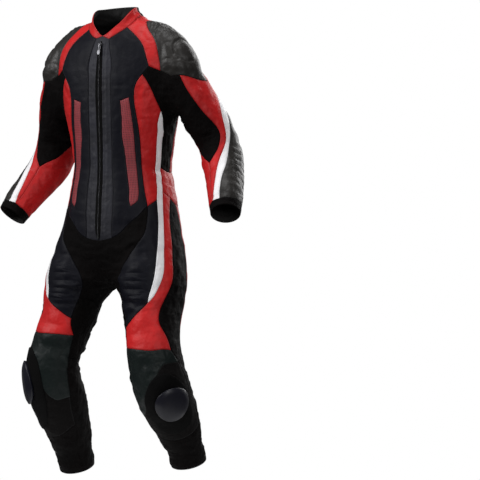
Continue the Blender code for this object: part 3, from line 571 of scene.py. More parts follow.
# Soft troughs where the worn suit bends or hangs slack. A row has its side (0 is both, 1 left, -1 right), the
# two places it joins, as degrees round and millimetres down, and its width in mm and depth in tenths of one
bodyCreases = (
    (0, 132, 1060, 180, 1075, 22, 70), (0, 128, 1115, 175, 1125, 20, 50), (0, 20, 1035, 62, 1045, 18, 30),
    (0, 62, 440, 118, 452, 22, 30), (0, 12, 735, 52, 700, 22, 50), (0, 8, 860, 34, 830, 22, 40),
    (0, 122, 870, 172, 868, 22, 60), (0, 8, 1335, 60, 1345, 20, 40), (0, 110, 1320, 170, 1345, 20, 40),
    (1, 44, 190, 33, 236, 11, 18), (-1, 45, 196, 35, 228, 10, 15), (0, 50, 218, 42, 262, 9, 12),
    (1, 52, 432, 78, 446, 11, 22), (-1, 54, 420, 80, 438, 12, 20), (1, 60, 476, 92, 488, 10, 16),
    (-1, 58, 486, 86, 480, 10, 18), (1, 84, 398, 118, 414, 12, 22), (-1, 86, 410, 121, 400, 12, 20),
    (0, 92, 352, 119, 328, 12, 18), (1, 100, 500, 160, 490, 13, 22), (-1, 104, 486, 150, 498, 13, 20),
    (1, 14, 622, 40, 602, 16, 14), (-1, 12, 600, 34, 588, 15, 12), (1, 22, 702, 49, 676, 12, 34),
    (-1, 18, 694, 44, 672, 12, 30), (1, 9, 776, 40, 748, 12, 40), (-1, 12, 764, 38, 752, 13, 36),
    (0, 5, 792, 24, 800, 10, 28), (0, 50, 712, 74, 692, 14, 20), (1, 22, 846, 47, 872, 11, 34),
    (1, 20, 902, 41, 905, 10, 28), (1, 29, 798, 54, 824, 12, 30), (1, 36, 892, 58, 876, 9, 18),
    (-1, 22, 822, 46, 816, 11, 30), (-1, 20, 872, 44, 886, 10, 26), (-1, 26, 788, 50, 778, 12, 26),
    (1, 28, 965, 58, 962, 9, 16), (-1, 30, 972, 62, 978, 9, 16), (1, 118, 1030, 178, 1046, 11, 50),
    (-1, 122, 1036, 176, 1040, 12, 46), (1, 118, 1086, 173, 1098, 12, 40), (-1, 116, 1092, 176, 1090, 11, 44),
    (0, 125, 1152, 171, 1156, 12, 30), (0, 0, 1062, 14, 1054, 10, 36), (0, 0, 1102, 13, 1090, 10, 30),
    (1, 124, 832, 168, 838, 11, 30), (0, 125, 906, 169, 900, 11, 34), (-1, 130, 950, 172, 938, 10, 22),
    (1, 10, 1362, 60, 1372, 9, 26), (-1, 12, 1372, 54, 1362, 9, 26), (0, 92, 1332, 165, 1354, 11, 30),
    (0, 100, 1284, 152, 1300, 10, 22), (0, 2, 1300, 22, 1312, 10, 22), (0, 140, 242, 166, 262, 14, 18),
    (0, 117, 250, 136, 276, 13, 20), (0, 150, 432, 179, 440, 12, 18), (1, 130, 600, 178, 612, 16, 16),
    (-1, 126, 620, 170, 604, 16, 16), (0, 90, 655, 112, 640, 14, 20), (1, 88, 820, 106, 836, 12, 20),
    (-1, 90, 842, 108, 830, 12, 20), (0, 94, 1060, 116, 1078, 11, 22), (0, 100, 1180, 120, 1192, 11, 20),
    (0, 60, -22, 100, -20, 8, 12),
)
sleeveCreases = (
    (0, 80, 215, 176, 205, 20, 60), (0, 95, 262, 172, 252, 20, 50), (0, 92, 50, 172, 60, 22, 40),
    (1, 98, 186, 172, 176, 11, 40), (-1, 94, 182, 166, 186, 11, 44), (1, 86, 238, 160, 232, 11, 46),
    (-1, 90, 232, 168, 236, 11, 40), (0, 100, 292, 165, 283, 11, 30), (1, 100, 100, 165, 118, 12, 28),
    (-1, 96, 112, 160, 104, 12, 26), (0, 190, 60, 240, 50, 12, 32), (0, 185, 102, 222, 86, 12, 28),
    (0, 186, 150, 214, 140, 12, 24), (0, 108, 362, 152, 374, 11, 22), (0, 190, 330, 230, 346, 11, 22),
    (1, 60, 460, 152, 466, 8, 20), (-1, 50, 464, 140, 458, 8, 20), (0, 210, 454, 320, 462, 8, 18),
    (0, 20, 118, 66, 150, 13, 22), (0, -40, 112, -80, 126, 13, 20), (1, -10, 262, -70, 250, 10, 18),
    (-1, 0, 250, -60, 262, 10, 18),
)
creases = {"body": bodyCreases, "sleeve": sleeveCreases}
creaseForm = {"ends": 0.55, "rims": (0.30, 1.9, 0.8)}  # its rims' height, place and width, for a trough of 1

# Rows of padded ribs, and the pleats and cup of the shoulder
ribs = {
    "body": ({"u": (35, 58), "v": (0.735, 0.86), "pitch": 0.025, "height": 0.0026},),
    "sleeve": ({"u": (-112, 36), "v": (0.285, 0.439), "pitch": 0.022, "height": 0.0014},),
}
ribForm = {"fade": 9, "seamFade": (0.001, 0.012), "power": 0.75}
shoulderForm = {
    "cup": (14, 0.040), "edge": 0.030, "boss": 0.0030,
    "rise": (0.013, 0.105, 0.15),  # the cup's height, its reach and its least share
    "ring": (0.040, 0.0055, 0.0036),  # radius, width and depth
    "pleats": (0.098, 0.176), "pleat": (0.0150, 0.0046, 0.7),  # from and to; pitch, height and power
    "fades": (0.008, 0.020), "ringFades": (0.004, 0.016),
}
placketForm = {"pipes": (0.0135, 0.0245), "pipeWidth": 0.0042, "pipeHeight": 0.0020, "seamFade": (0, 0.01)}
# the soft unevenness: its height and size, its seed, and how it fades in from the seams
slack = {"leather": (0.0009, 0.075), "stretch": (0.0016, 0.045), "seed": 2.7, "fade": (0, 0.02)}
# the wander of creases and of pleats: amount, size and seed
wander = ((0.004, 0.11, 1.3), (0.005, 0.09, 4.1))
pleatWander = (0.002, 0.08, 3.3)


rippleForm = {"waves": 5, "turn": 1.7, "ways": (2.1, 1.3, 3.7), "finer": 0.35, "bend": 1.5, "calm": 3}


def ripple(points, size, seed):
    # a soft uneven field, about -1 to 1, with waves of about the given size
    form = rippleForm
    x, y, z = form["ways"]
    total = np.zeros(len(points))
    for i in range(form["waves"]):
        turn = form["turn"] * i + seed
        way = np.array((math.sin(turn * x), math.cos(turn * y), math.sin(turn * z + 1)))
        way *= (1 + form["finer"] * i) / np.linalg.norm(way)
        total += np.sin(points @ way * (2 * math.pi / size) + seed * (i + 1) + form["bend"] * total)
    return total / form["calm"]


def creaseHeight(kind, u, v, side, warp):
    scale = fit[kind + "Scale"]
    rim, rimPlace, rimWidth = creaseForm["rims"]
    thin = creaseForm["ends"]
    height = np.zeros(len(u))
    for onSide, fromU, fromV, toU, toV, width, depth in creases[kind]:
        middle = (fromU + toU) / 2
        near = (u - middle + 180) % 360 - 180 + middle if kind == "sleeve" else u
        px, py = near * scale + warp[0], v + warp[1]
        ax, ay = fromU * scale, fromV / 1000
        wx, wy = toU * scale - ax, toV / 1000 - ay
        share = np.clip(((px - ax) * wx + (py - ay) * wy) / (wx * wx + wy * wy), 0, 1)
        gap = np.hypot(px - ax - wx * share, py - ay - wy * share) / (width / 1000)
        trough = np.exp(-gap ** 2) - rim * np.exp(-((gap - rimPlace) / rimWidth) ** 2)
        swell = thin + (1 - thin) * np.sin(math.pi * share)
        height -= np.where((side == onSide) | (onSide == 0), depth / 1e4 * trough * swell, 0)
    return height


def ribHeight(kind, u, v, seamGap):
    fade = ribForm["fade"]
    height = np.zeros(len(u))
    near = (u + 180) % 360 - 180 if kind == "sleeve" else u
    for rib in ribs[kind]:
        (lowU, highU), (lowV, highV) = rib["u"], rib["v"]
        inside = smoothStep(lowU, lowU + fade, near) * (1 - smoothStep(highU - fade, highU, near))
        inside *= (v > lowV) & (v < highV)
        wave = np.abs(np.sin(math.pi * (v - lowV) / rib["pitch"])) ** ribForm["power"]
        height += rib["height"] * wave * inside * smoothStep(*ribForm["seamFade"], seamGap)
    return height


def isPanel(number, *starts):
    matches = [n for n, name in enumerate(panelNames) if name.startswith(starts)]
    return np.isin(number, matches)


def settle(mesh):
    # lays the skin on the charts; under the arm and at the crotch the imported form's own rounding stays
    points = readPoints(mesh)
    kind, u, v, side = locate(points)
    place = np.empty_like(points)
    for number, name in enumerate(charts):
        mine = kind == number
        place[mine] = chartFrame(name, u[mine], v[mine], side[mine])[0]
    gap = ringGap(kind, u, v)
    keep = np.maximum(1 - smoothStep(*skinBuild["keepRing"], gap),
                      smoothStep(*skinBuild["keepFar"], np.linalg.norm(place - points, axis=1)))
    writePoints(mesh, place + (points - place) * keep[:, None])
    made = opened(mesh)
    made.verts.ensure_lookup_table()
    nearRing = [made.verts[i] for i in np.flatnonzero(gap < 1)]
    rounds, more = skinBuild["armholeSoftening"]
    smoothVerts(made, nearRing, rounds)
    smoothVerts(made, [v for v in nearRing if v.co.z < skinBuild["underArm"]], more)
    closed(made, mesh)
    return kind, u, v, side


def readSeams(mesh):
    # how far each point is from the nearest seam, and which panel it is on
    made = opened(mesh)
    ends = [[v.co for v in e.verts] for e in made.edges if isSeam(e)]
    tree = treeOf([place for a, b in ends for place in (a, (a + b) / 2)])
    seamGap = np.array([tree.find(vert.co)[2] for vert in made.verts])
    panelOf = np.zeros(len(seamGap), int)
    for face in made.faces:
        for vert in face.verts:
            panelOf[vert.index] = face.material_index
    made.free()
    return seamGap, panelOf


def raiseShoulders(height, points, seamGap, within):
    form = shoulderForm
    cupU, cupV = (np.array([c, c], float) for c in form["cup"])
    cups = sleevePlace(cupU, cupV, np.array([1, -1]))
    away = np.minimum(*(np.linalg.norm(points - cup, axis=1) for cup in cups))
    on = within * smoothStep(0, form["edge"], seamGap)
    rise, reach, least = form["rise"]
    height += on * rise * np.maximum(least, 1 - (away / reach) ** 2)
    radius, width, depth = form["ring"]
    ring = np.exp(-((away - radius) / width) ** 2)
    height += on * (form["boss"] * (1 - smoothStep(0, radius, away)) - depth * ring)
    amount, size, seed = pleatWander
    x = np.abs(points[:, 0]) + amount * ripple(points, size, seed)
    (first, last), (fadeIn, fadeOut) = form["pleats"], form["fades"]
    pitch, tall, power = form["pleat"]
    pleats = np.abs(np.sin(math.pi * (x - first) / pitch)) ** power
    pleated = smoothStep(first, first + fadeIn, x)
    pleated *= smoothStep(*(radius + fade for fade in form["ringFades"]), away)
    pleated *= 1 - smoothStep(last - fadeOut, last, x)
    height += on * tall * (pleats - 0.5) * pleated


def raisePipes(height, points, seamGap, within):
    form = placketForm
    for pipe in form["pipes"]:
        beside = np.abs(np.abs(points[:, 0]) - pipe) / form["pipeWidth"]
        height += within * form["pipeHeight"] * np.exp(-beside ** 2) * smoothStep(*form["seamFade"], seamGap)


def shapeSkin(mesh):
    kind, u, v, side = settle(mesh)
    seamGap, panelOf = readSeams(mesh)
    points = readPoints(mesh)
    out = column(mesh.vertex_normals, "vector", size=3).reshape(-1, 3)
    warp = np.array([amount * ripple(points, size, seed) for amount, size, seed in wander])
    height = np.zeros(len(points))
    for number, name in enumerate(charts):
        mine = kind == number
        height[mine] += creaseHeight(name, u[mine], v[mine], side[mine], warp[:, mine])
        height[mine] += ribHeight(name, u[mine], v[mine], seamGap[mine])
    stretch = isPanel(panelOf, *panels["blackStretch"])
    for soften, (rise, size) in ((~stretch, slack["leather"]), (stretch, slack["stretch"])):
        height += soften * rise * ripple(points, size, slack["seed"]) * smoothStep(*slack["fade"], seamGap)
    crown, soon = skinBuild["crown"]
    height += ~stretch * crown * (1 - np.exp(-seamGap / soon))
    raiseShoulders(height, points, seamGap, isPanel(panelOf, "shoulder"))
    raisePipes(height, points, seamGap, isPanel(panelOf, "placket"))
    writePoints(mesh, points + out * height[:, None])
    return kind, u, v, seamGap


def mapCloth(mesh, kind, u, v, seamGap):
    # the cloth's own coordinates in metres, kept whole across the seam line at the back of a sleeve
    corner = column(mesh.loops, "vertex_index", int)
    starts = column(mesh.polygons, "loop_start", int)
    around = u[corner]
    low, high = np.minimum.reduceat(around, starts), np.maximum.reduceat(around, starts)
    split = np.repeat(high - low > 180, np.diff(np.append(starts, len(corner))))
    around = np.where(split & (around < 0), around + 360, around)
    around = around * np.where(kind[corner] == 1, fit["sleeveScale"], fit["bodyScale"])
    layer = mesh.uv_layers.new(name="cloth")
    layer.uv.foreach_set("vector", np.stack((around, v[corner]), 1).ravel())
    near = mesh.attributes.new("seam", "FLOAT", "POINT")
    near.data.foreach_set("value", seamGap)


def cutPanels(mesh):
    # one object for each panel, by the panel's number on the skin's faces
    marks = [bpy.data.materials.new("cut_" + name) for name in panelNames]
    for mark in marks:
        mesh.materials.append(mark)
    whole = addObject("skin", mesh)
    bpy.context.view_layer.objects.active = whole
    whole.select_set(True)
    bpy.ops.object.mode_set(mode="EDIT")
    bpy.ops.mesh.select_all(action="SELECT")
    bpy.ops.mesh.separate(type="MATERIAL")
    bpy.ops.object.mode_set(mode="OBJECT")
    cut = {obj.data.materials[0].name.removeprefix("cut_"): obj for obj in bpy.context.selected_objects}
    for mark in marks:
        bpy.data.materials.remove(mark)
    return cut


def outwardOf(vert):
    # the way out of the piece at a point on its edge, along its surface
    inner = sum((f.calc_center_median() for f in vert.link_faces), Vector()) / len(vert.link_faces)
    outward = vert.co - inner
    return (outward - vert.normal * outward.dot(vert.normal)).normalized()


def dressPanel(panel, outside):
    # gives the panel its wall and a narrow lip that turns down into the seam
    made = opened(panel.data)
    bmesh.ops.inset_region(
        made, faces=made.faces, thickness=skinBuild["lip"], use_boundary=True, use_even_offset=False)
    made.normal_update()
    made.verts.index_update()
    lip = [(v.index, v.normal.copy(), outwardOf(v)) for v in made.verts if v.is_boundary]
    count = len(made.verts)
    closed(made, panel.data)
    paint(panel.data, finishes[outside], finishes["lining"])
    solid = modified(panel, "SOLIDIFY", thickness=skinBuild["wall"], offset=-1, material_offset=1)
    for index, up, outward in lip:
        solid.vertices[index].co -= up * skinBuild["lipDrop"]
        solid.vertices[index + count].co += outward * skinBuild["overlap"]
    panel.data = solid
    solid.shade_smooth()


def snake(name):
    return "".join("_" + letter.lower() if letter.isupper() else letter for letter in name)


# These finishes are paired with another finish, whose name dressed() works out and does not use
slotOf = {"kneeLeather": "darkLeather", "seatLeather": "greyLeather", "placketCloth": "darkLeather"}


def dressed(piece, finish=None, *nodes, body="suit"):
    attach(piece, body)
    if nodes:
        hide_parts(*nodes)
    if finish:
        snake(slotOf.get(finish, finish))
    return piece


def operator(operation, reflected=False):
    def work(socket, other):
        return socket.tree.sum(operation, *((other, socket) if reflected else (socket, other)))
    return work


class Socket:
    # a node's output that takes part in sums
    __add__, __radd__ = operator("ADD"), operator("ADD", True)
    __sub__, __rsub__ = operator("SUBTRACT"), operator("SUBTRACT", True)
    __mul__, __rmul__ = operator("MULTIPLY"), operator("MULTIPLY", True)

    def __init__(self, tree, output):
        self.tree, self.output = tree, output

    def ramp(self, low, high):
        return self.tree.node("ShaderNodeMapRange", {"interpolation_type": "SMOOTHSTEP"},
                              {"Value": self, "From Min": low, "From Max": high})["Result"]


class Tree:
    # builds a node tree from sums of sockets
    def __init__(self, nodes):
        self.tree = nodes
        self.tree.nodes.clear()

    def node(self, kind, settings=None, values=None):
        made = self.tree.nodes.new(kind)
        for name, value in (settings or {}).items():
            setattr(made, name, value)
        for name, value in (values or {}).items():
            if isinstance(value, Socket):
                self.tree.links.new(value.output, made.inputs[name])
            else:
                made.inputs[name].default_value = value
        return Outputs(self, made)

    def sum(self, operation, *values):
        return self.node("ShaderNodeMath", {"operation": operation}, dict(enumerate(values)))["Value"]

    def mix(self, share, first, second):
        # blends two colours
        return self.node("ShaderNodeMix", {"data_type": "RGBA"}, {0: share, 6: first, 7: second})[2]

    def place(self):
        return self.node("ShaderNodeTexCoord")["Object"]

    def cloth(self):
        return self.node("ShaderNodeUVMap", {"uv_map": "cloth"})["UV"]

    def seam(self):
        return self.node("ShaderNodeAttribute", {"attribute_name": "seam"})["Fac"]

    def cloud(self, vector, scale, detail=2, roughness=0.5):
        return self.node("ShaderNodeTexNoise", None,
                         {"Vector": vector, "Scale": scale, "Detail": detail, "Roughness": roughness})["Fac"]

    def along(self, axis):
        return self.node("ShaderNodeSeparateXYZ", None, {"Vector": self.cloth()})[axis]

    def bump(self, height, distance, under=None):
        values = {"Height": height, "Distance": distance, "Strength": 1.0}
        if under:
            values["Normal"] = under
        return self.node("ShaderNodeBump", None, values)["Normal"]


class Outputs:
    def __init__(self, tree, node):
        self.tree, self.node = tree, node

    def __getitem__(self, name):
        return Socket(self.tree, self.node.outputs[name])


def shader(name, make, *form, **more):
    material = bpy.data.materials.new(name)
    material.use_nodes = True
    tree = Tree(material.node_tree)
    surface = tree.node("ShaderNodeBsdfPrincipled", None, make(tree, *form, **more))
    tree.node("ShaderNodeOutputMaterial", None, {"Surface": surface["BSDF"]})
    return material


def tone(colour, by):
    return tuple(min(c * by, 1) for c in colour) + (1,)


leatherForm = {
    "cloudy": (9, 3), "broad": (34, 2, 0.45), "pebbles": 800, "pebbleMiddle": 0.4,
    "shade": (1.6, 0.5, 0.7),  # how much the clouds, the broad waves and the painted shade beside the seams show
    # edge: how far from a seam the painted shade reaches
    "span": 0.9, "edge": 0.006, "rough": (0.22, 0.10), "relief": (0.00014, 0.0050),
    "line": 0.0016, "lineTone": 0.4, "groove": 0.0030, "depth": 0.0016,
    # the lower, outer part of a knee panel: how far down it starts, its seam's rise, and where that begins
    "lower": (1.042, 0.123, 0.075, 0.205), "lowerRough": 0.95,
    "lowerEdge": 0.0006, "lowerGroove": 0.0025, "lowerDepth": 0.0012,
}


def leather(tree, colour, roughness, worn, grain=1.0, soft=1.0, gloss=0.35, lower=None, seams=()):
    form = leatherForm
    place = tree.place()
    cloudy = tree.cloud(place, *form["cloudy"])
    broad = tree.cloud(place, *form["broad"])
    pebble = tree.node("ShaderNodeTexVoronoi", None, {"Vector": place, "Scale": form["pebbles"]})["Distance"]
    # painted shade: the colour darkens within a few millimetres of every seam, where the panel turns down
    # into the seam
    edge = 1 - tree.seam().ramp(0.0, form["edge"])
    byCloud, byWave, bySeamShade = form["shade"]
    shade = (cloudy - 0.5) * byCloud + (broad - 0.5) * byWave - bySeamShade * edge
    span = form["span"]
    # the darker tone carries both the random mottling and the painted shade beside the seams
    base = tree.mix(shade.ramp(-span, span), tone(colour, 1 - 2 * worn), tone(colour, 1 + worn))
    byWave, byPebble = form["rough"]
    rough = roughness + (broad - 0.5) * byWave + (pebble - form["pebbleMiddle"]) * byPebble
    fine, coarse = form["relief"]
    surface = tree.bump(pebble, fine * grain, tree.bump(broad, coarse * soft))
    for axis, at in seams:
        # a plain seam across the panel, at one place of its cut
        gap = tree.sum("ABSOLUTE", tree.along(axis) - at)
        base = tree.mix(gap.ramp(0.0, form["line"]), tone(colour, form["lineTone"]), base)
        surface = tree.bump(gap.ramp(0.0, form["groove"]), form["depth"], surface)
    if lower:
        # the panel's lower, outer part is plain hook-and-loop cloth, sewn on below a curved seam
        down, rise, near, far = form["lower"]
        past = tree.along("Y") - down - rise * (1 - tree.along("X").ramp(near, far))
        share = past.ramp(-form["lowerEdge"], form["lowerEdge"])
        base = tree.mix(share, base, tone(lower, 1))
        rough = rough + share * (form["lowerRough"] - rough)
        groove = tree.sum("ABSOLUTE", past).ramp(0.0, form["lowerGroove"])
        surface = tree.bump(groove, form["lowerDepth"], surface)
    return {"Base Color": base, "Roughness": rough, "Specular IOR Level": gloss, "Normal": surface}


clothForm = {"clouds": ((11, 3), (46, 2), (900, 1)), "relief": (0.0035, 0.0002, 0.0003),
             "span": (0.3, 0.7), "tones": (0.7, 1.35)}


def mottled(tree, colour, clouds, form):
    low, high = (tone(colour, by) for by in form["tones"])
    return tree.mix(clouds.ramp(*form["span"]), low, high)


def cloth(tree, colour, roughness, ribs=0.0, gloss=0.25):
    place = tree.place()
    cloudy, broad, weave = (tree.cloud(place, *cloud) for cloud in clothForm["clouds"])
    coarse, fine, ribbed = clothForm["relief"]
    surface = tree.bump(weave, fine, tree.bump(broad, coarse))
    if ribs:
        rows = tree.node("ShaderNodeTexWave", {"wave_type": "BANDS", "bands_direction": "Y"},
                         {"Vector": tree.cloth(), "Scale": ribs, "Distortion": 0.0})["Fac"]
        surface = tree.bump(rows, ribbed, surface)
    base = mottled(tree, colour, cloudy, clothForm)
    return {"Base Color": base, "Roughness": roughness, "Specular IOR Level": gloss, "Normal": surface}


meshForm = {"holes": 190, "edge": (0.22, 0.34), "depth": 0.0006, "rough": 0.62,
            "clouds": (14, 3), "span": (0.3, 0.7), "tones": (0.85, 1.1)}


def perforated(tree, colour, hole):
    form = meshForm
    dots = tree.node("ShaderNodeTexVoronoi", None,
                     {"Vector": tree.cloth(), "Scale": form["holes"], "Randomness": 0.0})["Distance"]
    inHole = 1 - dots.ramp(*form["edge"])
    base = mottled(tree, colour, tree.cloud(tree.place(), *form["clouds"]), form)
    return {"Base Color": tree.mix(inHole, base, tone(hole, 1)), "Roughness": form["rough"],
            "Normal": tree.bump(1 - inHole, form["depth"])}


plainForm = {"grain": (240, 2), "tones": (0.85, 1.15), "rough": 0.15}


def plain(tree, colour, roughness, metallic=0.0, gloss=0.5):
    grain = tree.cloud(tree.place(), *plainForm["grain"])
    low, high = (tone(colour, by) for by in plainForm["tones"])
    return {"Base Color": tree.mix(grain, low, high), "Metallic": metallic, "Specular IOR Level": gloss,
            "Roughness": roughness + (grain - 0.5) * plainForm["rough"]}


black = (0.0014, 0.0008, 0.0008)
# Each finish: how it is made, its colour, its roughness or hole colour, and its own settings
finishForms = {
    # for a leather, the first of its own settings sets how far its random mottling and the painted shade
    # beside its seams move its colour
    "redLeather": (leather, (0.56, 0.010, 0.011), 0.50, {"worn": 0.14, "gloss": 0.26}),
    "darkLeather": (leather, (0.0030, 0.0032, 0.0070), 0.54, {"worn": 0.12, "soft": 0.35, "gloss": 0.13}),
    "kneeLeather": (leather, (0.0040, 0.0082, 0.0078), 0.50, {"worn": 0.12, "gloss": 0.20, "lower": black}),
    "greyLeather": (leather, (0.0185, 0.0165, 0.0148), 0.46,
                    {"worn": 0.22, "grain": 0.5, "soft": 0.9, "gloss": 0.32}),
    "seatLeather": (leather, (0.0255, 0.0245, 0.0240), 0.48,
                    {"worn": 0.12, "soft": 0.5, "gloss": 0.30, "seams": (("X", 0.504), ("Y", 0.606))}),
    "placketCloth": (cloth, (0.0170, 0.0172, 0.0240), 0.6, {}),
    "whiteLeather": (leather, (0.90, 0.89, 0.91), 0.46, {"worn": 0.03}),
    "blackStretch": (cloth, black, 0.75, {"ribs": 130.0, "gloss": 0.08}),
    "redMesh": (perforated, (0.30, 0.030, 0.040), (0.05, 0.006, 0.008), {}),
    "hookTape": (plain, (0.0014, 0.0013, 0.0014), 0.9, {"gloss": 0.12}),
    "sliderPlastic": (plain, (0.0045, 0.0046, 0.0100), 0.38, {"gloss": 0.32}),
    "zipMetal": (plain, (0.07, 0.07, 0.075), 0.34, {"metallic": 1.0}),
    "lining": (plain, (0.0050, 0.0045, 0.0045), 0.85, {}),
    "piping": (plain, (0.20, 0.012, 0.014), 0.6, {}),
    "redThread": (plain, (0.24, 0.008, 0.008), 0.7, {}),
    "darkThread": (plain, (0.014, 0.014, 0.018), 0.7, {}),
    "whiteThread": (plain, (0.50, 0.50, 0.52), 0.7, {}),
}
finishes = {name: shader(snake(name), *form[:3], **form[3]) for name, form in finishForms.items()}

skin = smoothMesh(joinSkin(), skinBuild["levels"], "skin")
evenPanels(skin)
refine(skin, both("shoulder"))
smoothSeams(skin)
kind, around, down, seamGap = shapeSkin(skin)
mapCloth(skin, kind, around, down, seamGap)
print("skin shaped:", len(skin.polygons), "faces")

whole = opened(skin)
skinTree = BVHTree.FromBMesh(whole)
whole.free()


def layOnSkin(made, height):
    # sets every point at one height above the shaped skin
    for vert in made.verts:
        found, out, _, _ = skinTree.find_nearest(vert.co)
        vert.co = found + out * height


def contour(mesh, gaps, level, names):
    # the lines on the named panels that keep one distance from the seams
    ends = column(mesh.edges, "vertices", int, 2)
    first, second = ends[::2], ends[1::2]
    g1, g2 = gaps[first] - level, gaps[second] - level
    crossed = (g1 < 0) != (g2 < 0)
    corner = column(mesh.loops, "edge_index", int)
    starts, panel = (column(mesh.polygons, name, int) for name in ("loop_start", "material_index"))
    counts = np.add.reduceat(crossed[corner].astype(int), starts)
    wanted = (counts == 2) & np.isin(panel, [panelNames.index(name) for name in names])
    sizes = np.diff(np.append(starts, len(corner)))
    hit = corner[np.repeat(wanted, sizes) & crossed[corner]]
    used, index = np.unique(hit, return_inverse=True)
    points = readPoints(mesh)
    share = (g1[used] / (g1[used] - g2[used]))[:, None]
    places = points[first[used]] * (1 - share) + points[second[used]] * share
    lines = bpy.data.meshes.new("lines")
    lines.from_pydata(places.tolist(), index.reshape(-1, 2).tolist(), [])
    return lines


def strew(name, lines, spacing, size, shape, finish):
    # copies of one small shape along the lines, their long way along the line
    tree = bpy.data.node_groups.new(name, "GeometryNodeTree")
    for way in ("INPUT", "OUTPUT"):
        tree.interface.new_socket("Geometry", in_out=way, socket_type="NodeSocketGeometry")
    nodes = Tree(tree)
    line = nodes.node("GeometryNodeMeshToCurve", None, {"Mesh": nodes.node("NodeGroupInput")["Geometry"]})
    spots = nodes.node(
        "GeometryNodeCurveToPoints", {"mode": "LENGTH"}, {"Curve": line["Curve"], "Length": spacing})
    one = nodes.node("GeometryNodeTransform", None, {"Geometry": nodes.node(shape)["Mesh"], "Scale": size})
    one = nodes.node("GeometryNodeSetShadeSmooth", None, {"Geometry": one["Geometry"]})
    many = nodes.node("GeometryNodeInstanceOnPoints", None, {
        "Points": spots["Points"], "Instance": one["Geometry"], "Rotation": spots["Rotation"]})
    real = nodes.node("GeometryNodeRealizeInstances", None, {"Geometry": many["Instances"]})
    nodes.node("NodeGroupOutput", None, {"Geometry": real["Geometry"]})
    piece = addObject(name, lines)
    piece.data = modified(piece, "NODES", node_group=tree)
    paint(piece.data, finishes[finish])
    return piece


stitches = {
    "from": 0.0040, "spacing": 0.0046,
    "size": (0.00042, 0.00042, 0.00165), "shape": "GeometryNodeMeshIcoSphere",
    "threads": {
        "redThread": ("redLeather",),
        "darkThread": ("darkLeather", "kneeLeather", "greyLeather", "seatLeather"),
        "whiteThread": ("whiteLeather",),
    },
}

for thread, leathers in stitches["threads"].items():
    rows = contour(skin, seamGap, stitches["from"], [name for finish in leathers for name in panels[finish]])
    piece = dressed(strew(thread, rows, stitches["spacing"], stitches["size"], stitches["shape"], thread))
    print(thread, len(piece.data.polygons))

cut = cutPanels(skin)
for finish, names in panels.items():
    for name in names:
        panel = cut[name]
        panel.name = name + "_cloth"
        dressPanel(panel, finish)
        dressed(panel, finish, name)
        width, length, share = cuts[name] if name in cuts else cuts[name.rsplit("_", 1)[0]]
        width, length = width / 1000, length / 1000
        width * length * (share / 100)
print("panels:", len(cut))


def rollRim(made, steps):
    # adds bands round the open edge, each some way out and down from the last
    made.normal_update()
    ways = {v: (outwardOf(v), v.normal.copy()) for v in made.verts if v.is_boundary}
    for out, drop in steps:
        grown = bmesh.ops.extrude_edge_only(made, edges=[e for e in made.edges if e.is_boundary])["geom"]
        known = dict(ways)
        for vert in [g for g in grown if isinstance(g, bmesh.types.BMVert)]:
            old = next(e.other_vert(vert) for e in vert.link_edges if e.other_vert(vert) in known)
            outward, up = ways[vert] = known[old]
            vert.co += outward * out - up * drop


overlays = {
    "hump": {"nodes": ("hump",), "rim": 0.0042, "levels": 4, "finish": "darkLeather",
             "piping": 0.0016, "fill": 0.9, "steps": ((0.0016, 0.0008), (0.0010, 0.0016), (0.0002, 0.0036))},
    "knee_base": {"nodes": both("knee_base"), "rim": 0.0032, "levels": 3, "finish": "hookTape",
                  "above": 0.0030, "steps": ((0.0008, 0.0005), (0.0004, 0.0012), (0.0, 0.0030))},
    "knee_slider": {"nodes": both("knee_slider"), "rim": 0.0095, "levels": 3, "finish": "sliderPlastic",
                    "steps": ((0.0012, 0.0006), (0.0010, 0.0014), (0.0004, 0.0020), (0.0, 0.0060))},
    "zip": {"nodes": ("zip",), "rim": 0.0022, "levels": 3, "finish": "hookTape",
            "above": 0.0019, "steps": ((0.0004, 0.0003), (0.0, 0.0020))},
}


def addPiping(made, name, radius):
    # a thin cord sewn round the open edge
    edges = [e for e in made.edges if e.is_boundary]
    at, last = edges[0].verts[0], None
    places = []
    for _ in edges:
        places.append(at.co - at.normal * radius)
        beside = [e.other_vert(at) for e in at.link_edges if e.is_boundary]
        at, last = next(v for v in beside if v is not last), at
    curve = bpy.data.curves.new(name, "CURVE")
    curve.dimensions = "3D"
    curve.bevel_depth = radius
    curve.bevel_resolution = 2
    run = curve.splines.new("POLY")
    run.points.add(len(places) - 1)
    for point, place in zip(run.points, places):
        point.co = (*place, 1)
    run.use_cyclic_u = True
    holder = addObject(name, curve)
    mesh = evaluated(holder)
    bpy.data.objects.remove(holder)
    paint(mesh, finishes["piping"])
    mesh.shade_smooth()
    dressed(addObject(name, mesh))


def addOverlays():
    for form in overlays.values():
        for name in form["nodes"]:
            mesh = smoothMesh(topOf(name, form["rim"]), form["levels"], name + "_top")
            made = opened(mesh)
            if "above" in form:
                layOnSkin(made, form["above"])
            if "piping" in form:
                made.normal_update()
                addPiping(made, name + "_piping", form["piping"])
            rollRim(made, form["steps"])
            closed(made, mesh)
            mesh.shade_smooth()
            paint(mesh, finishes[form["finish"]])
            piece = dressed(addObject(name + "_top", mesh), form["finish"], name)
            if "fill" in form:
                form["fill"]


zipForm = {"from": 0.036, "to": 0.655, "steps": 240, "aside": 0.0011, "above": 0.0025, "pitch": 0.0026,
           "tooth": (0.0021, 0.0015, 0.0014), "bevel": 0.0004, "sharp": math.radians(40)}


